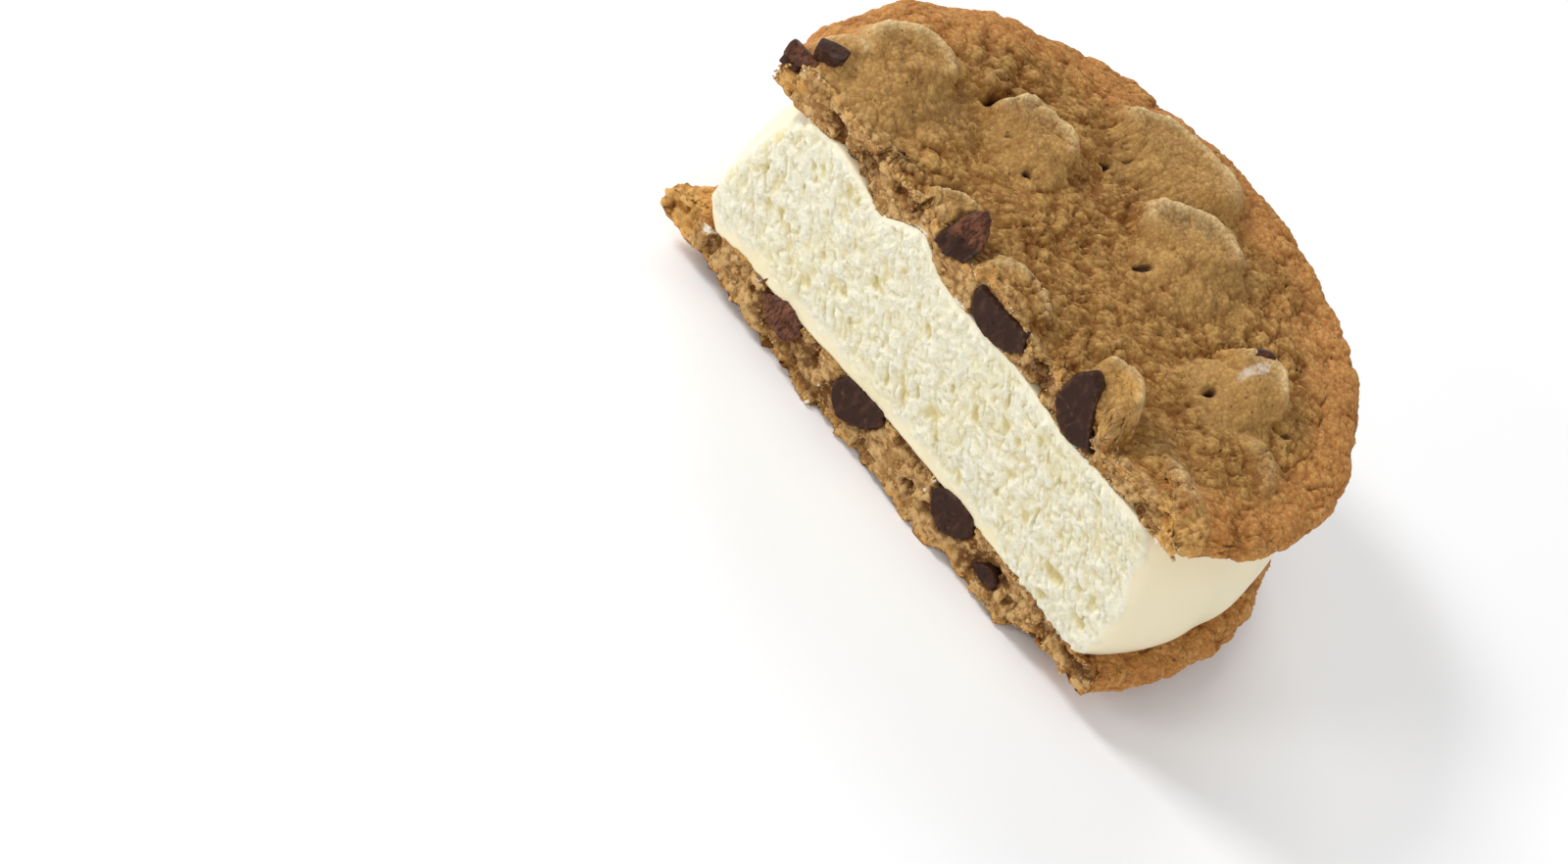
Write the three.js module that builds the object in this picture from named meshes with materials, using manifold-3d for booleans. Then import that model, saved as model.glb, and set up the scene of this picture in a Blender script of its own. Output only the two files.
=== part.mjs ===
// A chocolate chip cookie ice cream sandwich, cut straight across a little off its middle and laid
// flat on its lower cookie. Millimetres, +Z up. The origin is the middle of the full round, on the
// plane that the lower cookie rests on; +X runs along the cut and +Y away from the cut face.

import * as THREE from 'three';
import { mergeVertices } from 'three/addons/utils/BufferGeometryUtils.js';
import Module from 'manifold-3d';

const wasm = await Module();
wasm.setup();

// ---------------------------------------------------------------- driving sizes
const CUT_Y = -17.0; // plane of the cut
const CLEARANCE = 0.3; // between pieces that bed into one another

const LOWER = {
  radius: 42.4, centreX: 0.5, centreY: 0.5,
  rimZ: 4.6, rimBand: 1.9, rimWidth: 6.0, // height, flat band and inward reach of the rounded rim
  topZ: 7.2, underDome: 2.3, domeReach: 18, // bedding plane; rise of the outer face to the rim, and over what width
  lobes: [],
};
const FILLING = {
  bottomRadius: 39.2, beltRadius: 40.3, topRadius: 35.7, centreX: 0.2, centreY: 0.4,
  beltAt: 0.24, // share of the height at which the side bulges most
  farTuck: 1.1, // further drawing-in of the lower edge at the far end
};
const UPPER = {
  radius: 42.1, centreX: -0.6, centreY: -1.6, depthShare: 0.968, // a little short along Y
  rimZ: 29.3, rimBand: 1.8, rimWidth: 6.5,
  bedZ: 28.1, crownZ: 33.2, // bedding plane and plain top at the middle
  bedFall: 0.030, crownFall: 0.070, rimFall: 0.030, // fall of each per millimetre of +X
  // The round is a little full or short toward these angles; sharp lobes are the broken corners.
  lobes: [
    { towards: 25, by: 1.0, sharp: 2 }, { towards: 155, by: -2.0, sharp: 2 },
    { towards: -27, by: -2.6, sharp: 14 }, { towards: 206, by: -0.8, sharp: 24 },
  ],
};

// Puffs of the upper cookie: middle, reach inward and sideways, reach toward the rim, height.
const PUFFS = [
  { name: 'far end', x: -30.0, y: -8.5, side: 9.5, inner: 13, outer: 13.0, height: 2.9 },
  { name: 'left', x: -17.6, y: 5.2, side: 8.6, inner: 10, outer: 9.4, height: 2.9 },
  { name: 'back', x: -7.6, y: 20.0, side: 9.5, inner: 9.5, outer: 9.0, height: 2.5 },
  { name: 'middle', x: 4.8, y: 12.4, side: 8.6, inner: 10, outer: 9.4, height: 2.3 },
  { name: 'near dome', x: 23.6, y: 7.8, side: 7.0, inner: 8.0, outer: 7.0, height: 3.9 },
  { name: 'cut dome', x: 16.2, y: -16.0, side: 7.4, inner: 7.4, outer: 7.4, height: 5.2 },
  { name: 'over lens', x: 1.2, y: -16.0, side: 6.0, inner: 6.5, outer: 6.5, height: 1.7 },
  { name: 'near end', x: 31.0, y: -3.0, side: 9.0, inner: 9, outer: 8.0, height: 1.2 },
  { name: 'left of cut', x: -8.6, y: -13.6, side: 7.0, inner: 6.5, outer: 6.5, height: 2.4 },
];

// Chocolate pieces that the cut went through: place and half sizes on the cut face, tilt in degrees
// from the X axis, depth behind the cut, how far the face is set back, corner count of the outline.
const CUT_CHIPS = [
  { name: 'chip_lens', x: 2.6, z: 31.3, long: 4.7, short: 1.95, tilt: -14, depth: 4.6, back: 0.1, corners: 3 },
  { name: 'chip_dome', x: 16.9, z: 31.5, long: 5.3, short: 2.8, tilt: -62, depth: 4.4, back: 0.0, corners: 4 },
  { name: 'chip_ragged', x: -7.3, z: 33.0, long: 3.1, short: 2.2, tilt: 42, depth: 4.8, back: 0.5, corners: 5 },
  { name: 'chip_low_far', x: -18.9, z: 5.9, long: 4.7, short: 2.0, tilt: 8, depth: 4.2, back: 0.4, corners: 5 },
  { name: 'chip_low_middle', x: -5.0, z: 5.4, long: 4.5, short: 2.5, tilt: -6, depth: 4.6, back: 0.2, corners: 4 },
  { name: 'chip_low_near', x: 12.8, z: 5.5, long: 3.9, short: 2.3, tilt: 12, depth: 4.0, back: 0.3, corners: 5 },
  { name: 'chip_low_end', x: 20.8, z: 3.0, long: 2.6, short: 1.4, tilt: 4, depth: 2.8, back: 0.6, corners: 4 },
];

// Chocolate pieces bedded in the top face: middle, half sizes, turn about Z and lean in degrees.
const TOP_CHIPS = [
  { name: 'chip_corner', x: -34.7, y: -14.2, z: 36.15, a: 2.1, b: 1.4, c: 1.4, turn: 25, lean: 8 },
  { name: 'chip_shard', x: -35.8, y: -16.0, z: 34.5, a: 2.9, b: 0.8, c: 0.95, turn: 9, lean: 28 },
  { name: 'chip_end', x: -37.5, y: -15.7, z: 32.6, a: 1.5, b: 1.0, c: 0.85, turn: 20, lean: -14 },
  { name: 'chip_bloomed', x: 22.5, y: 12.35, z: 33.8, a: 2.2, b: 0.75, c: 1.6, turn: 44, lean: -14 },
];

const COLOURS = {
  crust: 0xb98748, crumb: 0xb48c5c, cream: 0xf1ead2, chocolate: 0x3a241d,
};

// ---------------------------------------------------------------- smooth noise
function lattice(i, j, k, seed) {
  let h = Math.imul(i, 374761393) ^ Math.imul(j, 668265263) ^ Math.imul(k, 2147483647 - 1640531527);
  h = Math.imul(h ^ (seed * 1013904223), 1274126177);
  h ^= h >>> 15;
  h = Math.imul(h, 2246822519);
  h ^= h >>> 13;
  return (h >>> 0) / 2147483648 - 1;
}

const ease = (t) => t * t * t * (t * (6 * t - 15) + 10);
const mix = (a, b, t) => a + (b - a) * t;

// Value noise between -1 and 1, blended from the eight lattice corners round the point.
function noise(x, y, z, size, seed) {
  const p = [x / size, y / size, z / size];
  const c = p.map(Math.floor);
  const t = p.map((v, n) => ease(v - c[n]));
  const at = (a, b, d) => lattice(c[0] + a, c[1] + b, c[2] + d, seed);
  const face = (d) => mix(mix(at(0, 0, d), at(1, 0, d), t[0]), mix(at(0, 1, d), at(1, 1, d), t[0]), t[1]);
  return mix(face(0), face(1), t[2]);
}

// ---------------------------------------------------------------- surfaces
// Bed of the upper cookie on the filling: tilted, with three soft swells where the cut shows them.
function upperBed(x, y) {
  const swell = (cx, w, h) => h * Math.exp(-(((x - cx) / w) ** 2) - ((y - CUT_Y) / 16) ** 2);
  return UPPER.bedZ - UPPER.bedFall * x + swell(-25, 5, 1.0) + swell(-12, 5, 2.2) + swell(8, 5, 0.7)
    - swell(2, 3, 0.5);
}

// Bed of the filling on the lower cookie.
const lowerBed = (x, y) => LOWER.topZ + 0.4 * Math.cos(x / 7.5) * Math.exp(-(((y - CUT_Y) / 16) ** 2));

// 0 at the rim line, 1 past the rounded edge: a quarter ellipse.
const roundedEdge = (inset, width) => {
  const t = Math.min(Math.max(inset / width, 0), 1);
  return Math.sqrt(1 - (1 - t) ** 2);
};

const lobeAt = (lobe, angle) =>
  lobe.by * Math.max(0, Math.cos(angle - THREE.MathUtils.degToRad(lobe.towards))) ** lobe.sharp;

const radiusAt = (disc, angle, seed) =>
  disc.radius / Math.hypot(Math.cos(angle), Math.sin(angle) / (disc.depthShare ?? 1))
  + (disc.lobes ?? []).reduce((sum, lobe) => sum + lobeAt(lobe, angle), 0)
  + 0.45 * noise(4 * Math.cos(angle), 4 * Math.sin(angle), 0, 1.1, seed)
  + 0.35 * noise(9 * Math.cos(angle), 9 * Math.sin(angle), 0, 1, seed + 1);

const insetIn = (disc, x, y, seed) => {
  const dx = x - disc.centreX, dy = y - disc.centreY;
  return radiusAt(disc, Math.atan2(dy, dx), seed) - Math.hypot(dx, dy);
};

// One puff: a dome that falls steeply toward the rim and eases out toward the middle.
function puff(p, x, y) {
  const out = Math.hypot(p.x, p.y) || 1;
  const ux = p.x / out, uy = p.y / out;
  const along = (x - p.x) * ux + (y - p.y) * uy;
  const across = -(x - p.x) * uy + (y - p.y) * ux;
  const q = (along / (along > 0 ? p.outer : p.inner)) ** 2 + (across / p.side) ** 2;
  return q >= 1 ? 0 : p.height * (1 - q) ** (p.inner > p.outer && along < 0 ? 1.4 : 0.8);
}

function upperTop(x, y) {
  const inset = insetIn(UPPER, x, y, 21);
  const rim = UPPER.rimZ + UPPER.rimBand / 2 - UPPER.rimFall * x;
  const crown = UPPER.crownZ - UPPER.crownFall * x - 0.0012 * (y - 4) ** 2 + 0.9 * Math.exp(-(((x + 33) / 9) ** 2));
  const puffs = Math.max(...PUFFS.map((p) => puff(p, x, y)));
  const grain = 0.34 * noise(x, y, 3, 4.2, 5) + 0.28 * noise(x, y, 7, 2.4, 6);
  return rim + (crown + puffs + grain - rim) * roundedEdge(inset, UPPER.rimWidth);
}

function upperUnder(x, y) {
  const inset = insetIn(UPPER, x, y, 21);
  const rim = UPPER.rimZ - UPPER.rimBand / 2 - UPPER.rimFall * x;
  return rim + (upperBed(x, y) + CLEARANCE - rim) * roundedEdge(inset, 4.5);
}

function lowerTop(x, y) {
  const inset = insetIn(LOWER, x, y, 31);
  const rim = LOWER.rimZ + LOWER.rimBand / 2;
  return rim + (lowerBed(x, y) - CLEARANCE - rim) * roundedEdge(inset, 4.5);
}

// Outer face of the lower cookie: flat where it rests, then rising and rounding into the rim.
function lowerUnder(x, y) {
  const inset = insetIn(LOWER, x, y, 31);
  const rim = LOWER.rimZ - LOWER.rimBand / 2;
  const dome = LOWER.underDome * Math.max(0, 1 - inset / LOWER.domeReach) ** 1.5
    + Math.max(0, 0.55 * noise(x, y, 0, 7, 33) - 0.12) * Math.min(1, Math.max(0, (15 - inset) / 8));
  return Math.max(0, rim + (dome - rim) * roundedEdge(inset, LOWER.rimWidth));
}

// ---------------------------------------------------------------- solids
// Boundary of a cut round: a quarter of its steps lie on the cut, and the rest on the arc. It is
// counted from the near corner round the arc to the far corner and back along the cut.
function outline(disc, half, seed) {
  const arcSteps = 6 * half, cutSteps = 2 * half;
  const start = Math.asin((CUT_Y - disc.centreY) / disc.radius);
  const points = [];
  for (let i = 0; i <= arcSteps; i++) {
    const angle = start + ((Math.PI - 2 * start) * i) / arcSteps;
    const r = radiusAt(disc, angle, seed);
    points.push({ x: disc.centreX + r * Math.cos(angle), y: disc.centreY + r * Math.sin(angle), angle, onCut: i === 0 || i === arcSteps });
  }
  const from = points[arcSteps].x, to = points[0].x;
  for (let i = 1; i < cutSteps; i++) points.push({ x: mix(from, to, i / cutSteps), y: CUT_Y, angle: 0, onCut: true });
  return points;
}

// Closed layer: two sheets joined by a wall. edge(point, t) gives x, y of the wall at share t of its
// height. The top sheet is a square grid laid into the outline, so its cells are alike in size: grid
// ring q of the square becomes a smaller copy of the outline, drawn closer together near the rim by
// the power crowd. The under sheet is a few plain rings of the sizes underShares.
function layer({ points, crowd, underShares, levels, edge, top, under, middle = [0, 6] }) {
  const position = [], index = [], n = points.length, half = n / 8;
  const add = (x, y, z) => position.push(x, y, z) / 3 - 1;
  const border = points.map((p) => edge(p, 0)), lowBorder = points.map((p) => edge(p, 1));
  const between = (rim, k, s) => {
    const i = Math.floor(s) % n, f = s - Math.floor(s), a = rim[i], b = rim[(i + 1) % n];
    return [mix(middle[0], mix(a[0], b[0], f), k), mix(middle[1], mix(a[1], b[1], f), k)];
  };
  // Place along the outline of the square's grid point (i, j), from its lower right corner.
  const along = (i, j, q) => {
    if (i === q && j < q) return (j + q) * (half / q);
    if (j === q && i > -q) return (3 * q - i) * (half / q);
    if (i === -q && j > -q) return (5 * q - j) * (half / q);
    return (7 * q + i) * (half / q);
  };
  const grid = [];
  for (let i = -half; i <= half; i++) {
    const row = [];
    for (let j = -half; j <= half; j++) {
      const q = Math.max(Math.abs(i), Math.abs(j));
      const [x, y] = q === 0 ? middle : between(border, 1 - (1 - q / half) ** crowd, along(i, j, q));
      row.push(add(x, y, top(x, y)));
    }
    grid.push(row);
  }
  for (let i = 0; i < 2 * half; i++) {
    for (let j = 0; j < 2 * half; j++) {
      const a = grid[i][j], b = grid[i + 1][j], c = grid[i + 1][j + 1], d = grid[i][j + 1];
      if ((i < half) === (j < half)) index.push(a, b, c, a, c, d);
      else index.push(a, b, d, b, c, d);
    }
  }
  let last = points.map((_, s) => {
    if (s < 2 * half) return grid[2 * half][s];
    if (s < 4 * half) return grid[4 * half - s][2 * half];
    if (s < 6 * half) return grid[0][6 * half - s];
    return grid[s - 6 * half][0];
  });
  const join = (ring) => {
    for (let i = 0; i < n; i++) {
      const j = (i + 1) % n;
      index.push(last[i], ring[i], ring[j], last[i], ring[j], last[j]);
    }
    last = ring;
  };
  for (let l = 1; l < levels; l++) {
    const t = l / levels;
    join(points.map((p, i) => add(...edge(p, t), mix(top(...border[i]), under(...lowBorder[i]), t))));
  }
  for (const k of underShares.slice().reverse()) {
    join(points.map((_, i) => {
      const [x, y] = between(lowBorder, k, i);
      return add(x, y, under(x, y));
    }));
  }
  const cap = add(...middle, under(...middle));
  for (let i = 0; i < n; i++) index.push(cap, last[(i + 1) % n], last[i]);
  const geometry = new THREE.BufferGeometry();
  geometry.setAttribute('position', new THREE.Float32BufferAttribute(position, 3));
  geometry.setIndex(index);
  return geometry;
}

// Wall of a cookie: the rim bulges a little at mid height; the cut is broken and crumbly.
const cookieEdge = (bulge, depth, nearSetBack, seed) => (p, t) => {
  if (p.onCut) {
    const rag = depth * (0.3 + 0.5 * noise(p.x, 2.2 * t, 0, 3.1, seed) + 0.35 * noise(p.x, 3.5 * t, 5, 1.7, seed + 1));
    const setBack = nearSetBack * Math.min(1, Math.max(0, (p.x - 24) / 12));
    return [p.x, CUT_Y + Math.max(0, rag) + setBack];
  }
  const out = bulge * Math.sin(Math.PI * t);
  return [p.x + out * Math.cos(p.angle), p.y + out * Math.sin(p.angle)];
};

// Wall of the filling: drawn in under the upper cookie, bulging low down, nearly flat on the cut.
function fillingEdge(p, t) {
  const h = 1 - t, tuck = FILLING.farTuck * Math.min(1, Math.max(0, -p.x / 30));
  const swell = h > FILLING.beltAt ? (h - FILLING.beltAt) / (1 - FILLING.beltAt) : (FILLING.beltAt - h) / FILLING.beltAt;
  const r = h > FILLING.beltAt
    ? FILLING.beltRadius - (FILLING.beltRadius - FILLING.topRadius) * swell ** 2
    : FILLING.beltRadius - (FILLING.beltRadius - FILLING.bottomRadius + tuck) * swell ** 3;
  const k = r / FILLING.beltRadius;
  if (p.onCut) {
    const half = Math.sqrt(r * r - (CUT_Y - FILLING.centreY) ** 2);
    const full = Math.sqrt(FILLING.beltRadius ** 2 - (CUT_Y - FILLING.centreY) ** 2);
    const rough = 0.22 + 0.2 * noise(p.x, 24 * t, 0, 2.6, 51);
    return [(p.x * half) / full, CUT_Y + rough];
  }
  return [FILLING.centreX + (p.x - FILLING.centreX) * k, FILLING.centreY + (p.y - FILLING.centreY) * k];
}

// Chocolate cut through: a broken outline on the cut face, shrinking to a blunt nose behind it.
function cutChip({ x, z, long, short, tilt, depth, back, corners }, grow = 0, front = 0) {
  const around = 14, steps = 3, a = THREE.MathUtils.degToRad(tilt);
  const position = [], index = [];
  const add = (px, py, pz) => position.push(px, py, pz) / 3 - 1;
  const ring = (share, y) => Array.from({ length: around }, (_, i) => {
    const s = (2 * Math.PI * i) / around;
    const lump = 1 + 0.07 * Math.cos(corners * s + x) + 0.05 * Math.cos((corners + 2) * s - z);
    const u = (long * lump * share + grow) * Math.cos(s), v = (short * lump * share + grow) * Math.sin(s);
    return add(x + u * Math.cos(a) - v * Math.sin(a), y, z + u * Math.sin(a) + v * Math.cos(a));
  });
  const face = CUT_Y + back - front;
  const nose = Array.from({ length: steps + 1 }, (_, i) => i / (steps + 0.6));
  const rings = nose.map((t) => ring(Math.sqrt(1 - t * t), CUT_Y + back + t * (depth + grow)));
  if (front > 0) rings.unshift(ring(1, face));
  const first = add(x, face, z), last = add(x, CUT_Y + back + depth + grow, z);
  for (let i = 0; i < around; i++) {
    const j = (i + 1) % around;
    index.push(first, rings[0][i], rings[0][j]);
    for (let r = 1; r < rings.length; r++) {
      index.push(rings[r - 1][i], rings[r][j], rings[r - 1][j], rings[r - 1][i], rings[r][i], rings[r][j]);
    }
    index.push(last, rings[rings.length - 1][j], rings[rings.length - 1][i]);
  }
  const geometry = new THREE.BufferGeometry();
  geometry.setAttribute('position', new THREE.Float32BufferAttribute(position, 3));
  geometry.setIndex(index);
  return geometry;
}

// Chocolate bedded in the top: a faceted ball, stretched, turned and leaned.
function topChip({ x, y, z, a, b, c, turn, lean }, grow = 0) {
  const geometry = new THREE.SphereGeometry(1, 8, 6);
  geometry.scale(a + grow, b + grow, c + grow);
  geometry.rotateX(THREE.MathUtils.degToRad(lean));
  geometry.rotateZ(THREE.MathUtils.degToRad(turn));
  geometry.translate(x, y, z);
  return geometry;
}

// ---------------------------------------------------------------- joining and cutting
function toSolid(geometry) {
  const bare = geometry.clone();
  bare.deleteAttribute('normal');
  bare.deleteAttribute('uv');
  const merged = mergeVertices(bare, 1e-4);
  return new wasm.Manifold(new wasm.Mesh({
    numProp: 3,
    vertProperties: new Float32Array(merged.attributes.position.array),
    triVerts: new Uint32Array(merged.index.array),
  }));
}

function toGeometry(solid) {
  const mesh = solid.getMesh();
  const geometry = new THREE.BufferGeometry();
  geometry.setAttribute('position', new THREE.BufferAttribute(new Float32Array(mesh.vertProperties), 3));
  geometry.setIndex(Array.from(mesh.triVerts));
  geometry.computeVertexNormals();
  return geometry;
}

const pockets = [
  ...CUT_CHIPS.map((chip) => toSolid(cutChip(chip, CLEARANCE, 3))),
  ...TOP_CHIPS.map((chip) => toSolid(topChip(chip, CLEARANCE))),
];

const bedShares = [0.35, 0.65, 0.85, 1];

let lowerCookie = toSolid(layer({
  points: outline(LOWER, 12, 31), crowd: 1.6, underShares: [0.4, 0.62, 0.8, 0.9, 0.96, 1], levels: 3,
  edge: cookieEdge(0.35, 0.8, 0, 35), top: lowerTop, under: lowerUnder,
}));
let filling = toSolid(layer({
  points: outline({ radius: FILLING.beltRadius, centreX: FILLING.centreX, centreY: FILLING.centreY }, 11, 41),
  crowd: 1, underShares: bedShares, levels: 7, edge: fillingEdge, top: upperBed, under: lowerBed,
}));
let upperCookie = toSolid(layer({
  points: outline(UPPER, 18, 21), crowd: 1.5, underShares: [0.35, 0.65, 0.84, 0.94, 1], levels: 3,
  edge: cookieEdge(0.35, 0.8, 0.5, 25), top: upperTop, under: upperUnder,
}));
// The beds follow each other to within a facet; what still comes closer is trimmed off the cookies.
upperCookie = upperCookie.subtract(filling.translate([0, 0, CLEARANCE / 2]));
lowerCookie = lowerCookie.subtract(filling.translate([0, 0, -CLEARANCE / 2]));
for (const pocket of pockets) {
  lowerCookie = lowerCookie.subtract(pocket);
  filling = filling.subtract(pocket);
  upperCookie = upperCookie.subtract(pocket);
}

// ---------------------------------------------------------------- the sandwich
const finish = (colour, roughness) => new THREE.MeshStandardMaterial({ color: colour, roughness, metalness: 0 });

const group = new THREE.Group();
group.name = 'ice_cream_sandwich';

function place(name, geometry, material) {
  const mesh = new THREE.Mesh(geometry, material);
  mesh.name = name;
  group.add(mesh);
}

place('cookie_bottom', toGeometry(lowerCookie), finish(COLOURS.crust, 0.85));
place('ice_cream', toGeometry(filling), finish(COLOURS.cream, 0.55));
place('cookie_top', toGeometry(upperCookie), finish(COLOURS.crust, 0.85));
for (const chip of CUT_CHIPS) place(chip.name, toGeometry(toSolid(cutChip(chip))), finish(COLOURS.chocolate, 0.6));
for (const chip of TOP_CHIPS) place(chip.name, toGeometry(toSolid(topChip(chip))), finish(COLOURS.chocolate, 0.6));

export default group;
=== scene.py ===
"""Looks of a chocolate chip cookie ice cream sandwich, cut straight across and laid on its lower cookie.

The shapes are reckoned in millimetres in the part's own frame: the origin is the middle of the full
round on the resting plane, +X runs along the cut, +Y away from the cut face and +Z up. Each layer is a
closed shell: a fine top sheet, a wall and an under sheet, to which relief is added along its normals.
"""

import itertools
import logging
import math
from dataclasses import dataclass, field
from enum import Enum

import bpy
import numpy as np
from mathutils import Matrix, Vector


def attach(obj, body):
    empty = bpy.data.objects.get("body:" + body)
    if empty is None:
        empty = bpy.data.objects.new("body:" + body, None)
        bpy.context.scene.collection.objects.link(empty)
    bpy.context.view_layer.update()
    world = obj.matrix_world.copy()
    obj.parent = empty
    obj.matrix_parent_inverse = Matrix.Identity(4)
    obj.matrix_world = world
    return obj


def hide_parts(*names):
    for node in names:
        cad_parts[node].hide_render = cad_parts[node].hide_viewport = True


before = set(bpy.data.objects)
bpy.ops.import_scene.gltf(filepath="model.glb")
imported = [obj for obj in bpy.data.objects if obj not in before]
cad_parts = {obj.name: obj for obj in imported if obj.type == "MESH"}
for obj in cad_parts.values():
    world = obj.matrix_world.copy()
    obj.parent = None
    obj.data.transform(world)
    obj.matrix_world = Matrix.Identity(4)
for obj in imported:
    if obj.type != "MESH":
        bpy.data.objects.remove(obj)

LOG = logging.getLogger("sandwich")
Array = np.ndarray
Colour = tuple[float, float, float, float]

METRES = 0.001  # one millimetre
CUT_Y = -17.0  # plane of the cut
FRONT_Y = CUT_Y - 0.33  # nothing stands out further in front of the cut than this
AXIS_PRIMES = (73856093, 19349663, 83492791)  # keep a cell's three indices apart
SEED_PRIME, CHANNEL_PRIME, FIRST_SALT = 7919, 104729, 17  # keep seeds and channels apart
SPREAD, FOLDING = 2654435761, 0x45D9F3B  # odd numbers that scatter the bits
WORD = 0xFFFFFFFF  # the 32 bits of a draw


# ---------------------------------------------------------------- sums on whole arrays


def ease(low: Array | float, high: Array | float, value: Array) -> Array:
    """Rises from 0 at low to 1 at high along 3t^2 - 2t^3 of the clamped share t; high may be below low.

    Args:
        low: value that gives 0.
        high: value that gives 1.
        value: numbers to ease.

    Returns:
        The eased shares.
    """
    share = np.clip((value - low) / (high - low), 0.0, 1.0)
    return share * share * (3.0 - 2.0 * share)


def blend(first: Array | float, second: Array | float, share: Array | float) -> Array:
    """Straight mix: first at share 0, second at share 1."""
    return first + (second - first) * share


def bell(value: Array, middle: float, width: float) -> Array:
    """Bell curve exp(-((value - middle) / width)^2)."""
    return np.exp(-(((value - middle) / width) ** 2))


def quarter_round(inset: Array, width: float) -> Array:
    """Quarter ellipse: 0 on the rim line, 1 from the given width inwards, upright at the rim."""
    share = np.clip(inset / width, 0.0, 1.0)
    return np.sqrt(1.0 - (1.0 - share) ** 2)


def level(x: Array, y: Array) -> Array:
    """Places (x, y, 0)."""
    return np.stack([x, y, 0.0 * x], axis=-1)


def columns(*values: Array | float) -> Array:
    """Numbers side by side, one row for each place; a plain number is the same in all rows."""
    return np.stack(np.broadcast_arrays(*values), axis=1)


@dataclass(frozen=True)
class Grain:
    """Repeatable random fields over points in space."""

    seed: int

    def other(self, step: int) -> "Grain":
        """Another set of fields, the given number of seeds further on."""
        return Grain(self.seed + step)

    def lattice(self, cells: Array, channel: int = 0) -> Array:
        """Random number for each whole-number cell, by multiplying and folding its three indices.

        Args:
            cells: whole numbers in the last axis of three.
            channel: which of several independent draws.

        Returns:
            Numbers from 0 up to 1.
        """
        mixed = np.bitwise_xor.reduce(cells.astype(np.int64) * AXIS_PRIMES, axis=-1)
        salt = (self.seed * SEED_PRIME + channel * CHANNEL_PRIME + FIRST_SALT) * SPREAD
        mixed = (mixed ^ salt) & WORD
        for _ in range(2):
            mixed = ((mixed ^ (mixed >> 16)) * FOLDING) & WORD
        return (mixed ^ (mixed >> 16)) / (WORD + 1)

    def smooth(self, points: Array, size: float) -> Array:
        """Value noise from -1 to 1: cell corners' draws blended by 6t^5 - 15t^4 + 10t^3.

        Args:
            points: places, three numbers each.
            size: edge of a cell.

        Returns:
            One number for each place.
        """
        scaled = points / size
        base = np.floor(scaled)
        t = scaled - base
        t = t**3 * (t * (6.0 * t - 15.0) + 10.0)
        total = np.zeros(points.shape[:-1])
        for corner in itertools.product((0, 1), repeat=3):
            weight = np.prod(np.where(np.array(corner) == 1, t, 1.0 - t), axis=-1)
            total += weight * self.lattice(base + corner)
        return 2.0 * total - 1.0

    def drift(self, points: Array, size: float, far: tuple[float, ...] = (3.0, 13.0, 23.0)) -> Array:
        """Smooth noise in each axis: three numbers from -1 to 1 for each place.

        Args:
            points: places, three numbers each.
            size: edge of a cell.
            far: how far away each axis reads its field.

        Returns:
            One vector for each place.
        """
        return np.stack([self.smooth(points + step, size) for step in far], axis=-1)

    def layered(self, points: Array, size: float, layers: int, gain: float = 0.5) -> Array:
        """Sum of noises, each half as large in cell and gain times as strong as the last.

        Args:
            points: places, three numbers each.
            size: cell edge of the first noise.
            layers: how many noises.
            gain: strength of each against the one before.

        Returns:
            One number for each place, between about -1 and 1.
        """
        total, strength, whole = 0.0, 1.0, 0.0
        for layer in range(layers):
            total = total + strength * self.smooth(points + 31.7 * layer, size / 2**layer)
            whole += strength
            strength *= gain
        return total / whole

    def folds(self, points: Array, size: float, layers: int) -> Array:
        """Rounded lumps with sharp folds between: a sum of the sizes of noises, 0 in a fold.

        Args:
            points: places, three numbers each.
            size: cell edge of the first noise.
            layers: how many noises, each half as large in cell and strength.

        Returns:
            One number for each place, from 0 to about 0.8.
        """
        total, whole = 0.0, 0.0
        for layer in range(layers):
            total = total + abs(self.smooth(points + 17.3 * layer, size / 2**layer)) / 2**layer
            whole += 0.5**layer
        return total / whole

    def cells(self, points: Array, size: float) -> tuple[Array, Array, Array]:
        """Scattered-point cells: one random point in each lattice cell, measured to the two nearest.

        Args:
            points: places, three numbers each.
            size: mean spacing of the scattered points.

        Returns:
            Distance to the nearest point and to the second, in cell edges, and the nearest's own draw.
        """
        scaled = points / size
        base = np.floor(scaled)
        near = np.full(points.shape[:-1], 9.0)
        second = near.copy()
        draw = np.zeros(points.shape[:-1])
        for step in itertools.product((-1, 0, 1), repeat=3):
            cell = base + step
            spot = cell + np.stack([self.lattice(cell, channel) for channel in (1, 2, 3)], axis=-1)
            away = np.linalg.norm(spot - scaled, axis=-1)
            closer = away < near
            second = np.where(closer, near, np.minimum(second, away))
            draw = np.where(closer, self.lattice(cell, 4), draw)
            near = np.where(closer, away, near)
        return near, second, draw


# ---------------------------------------------------------------- shells


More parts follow.
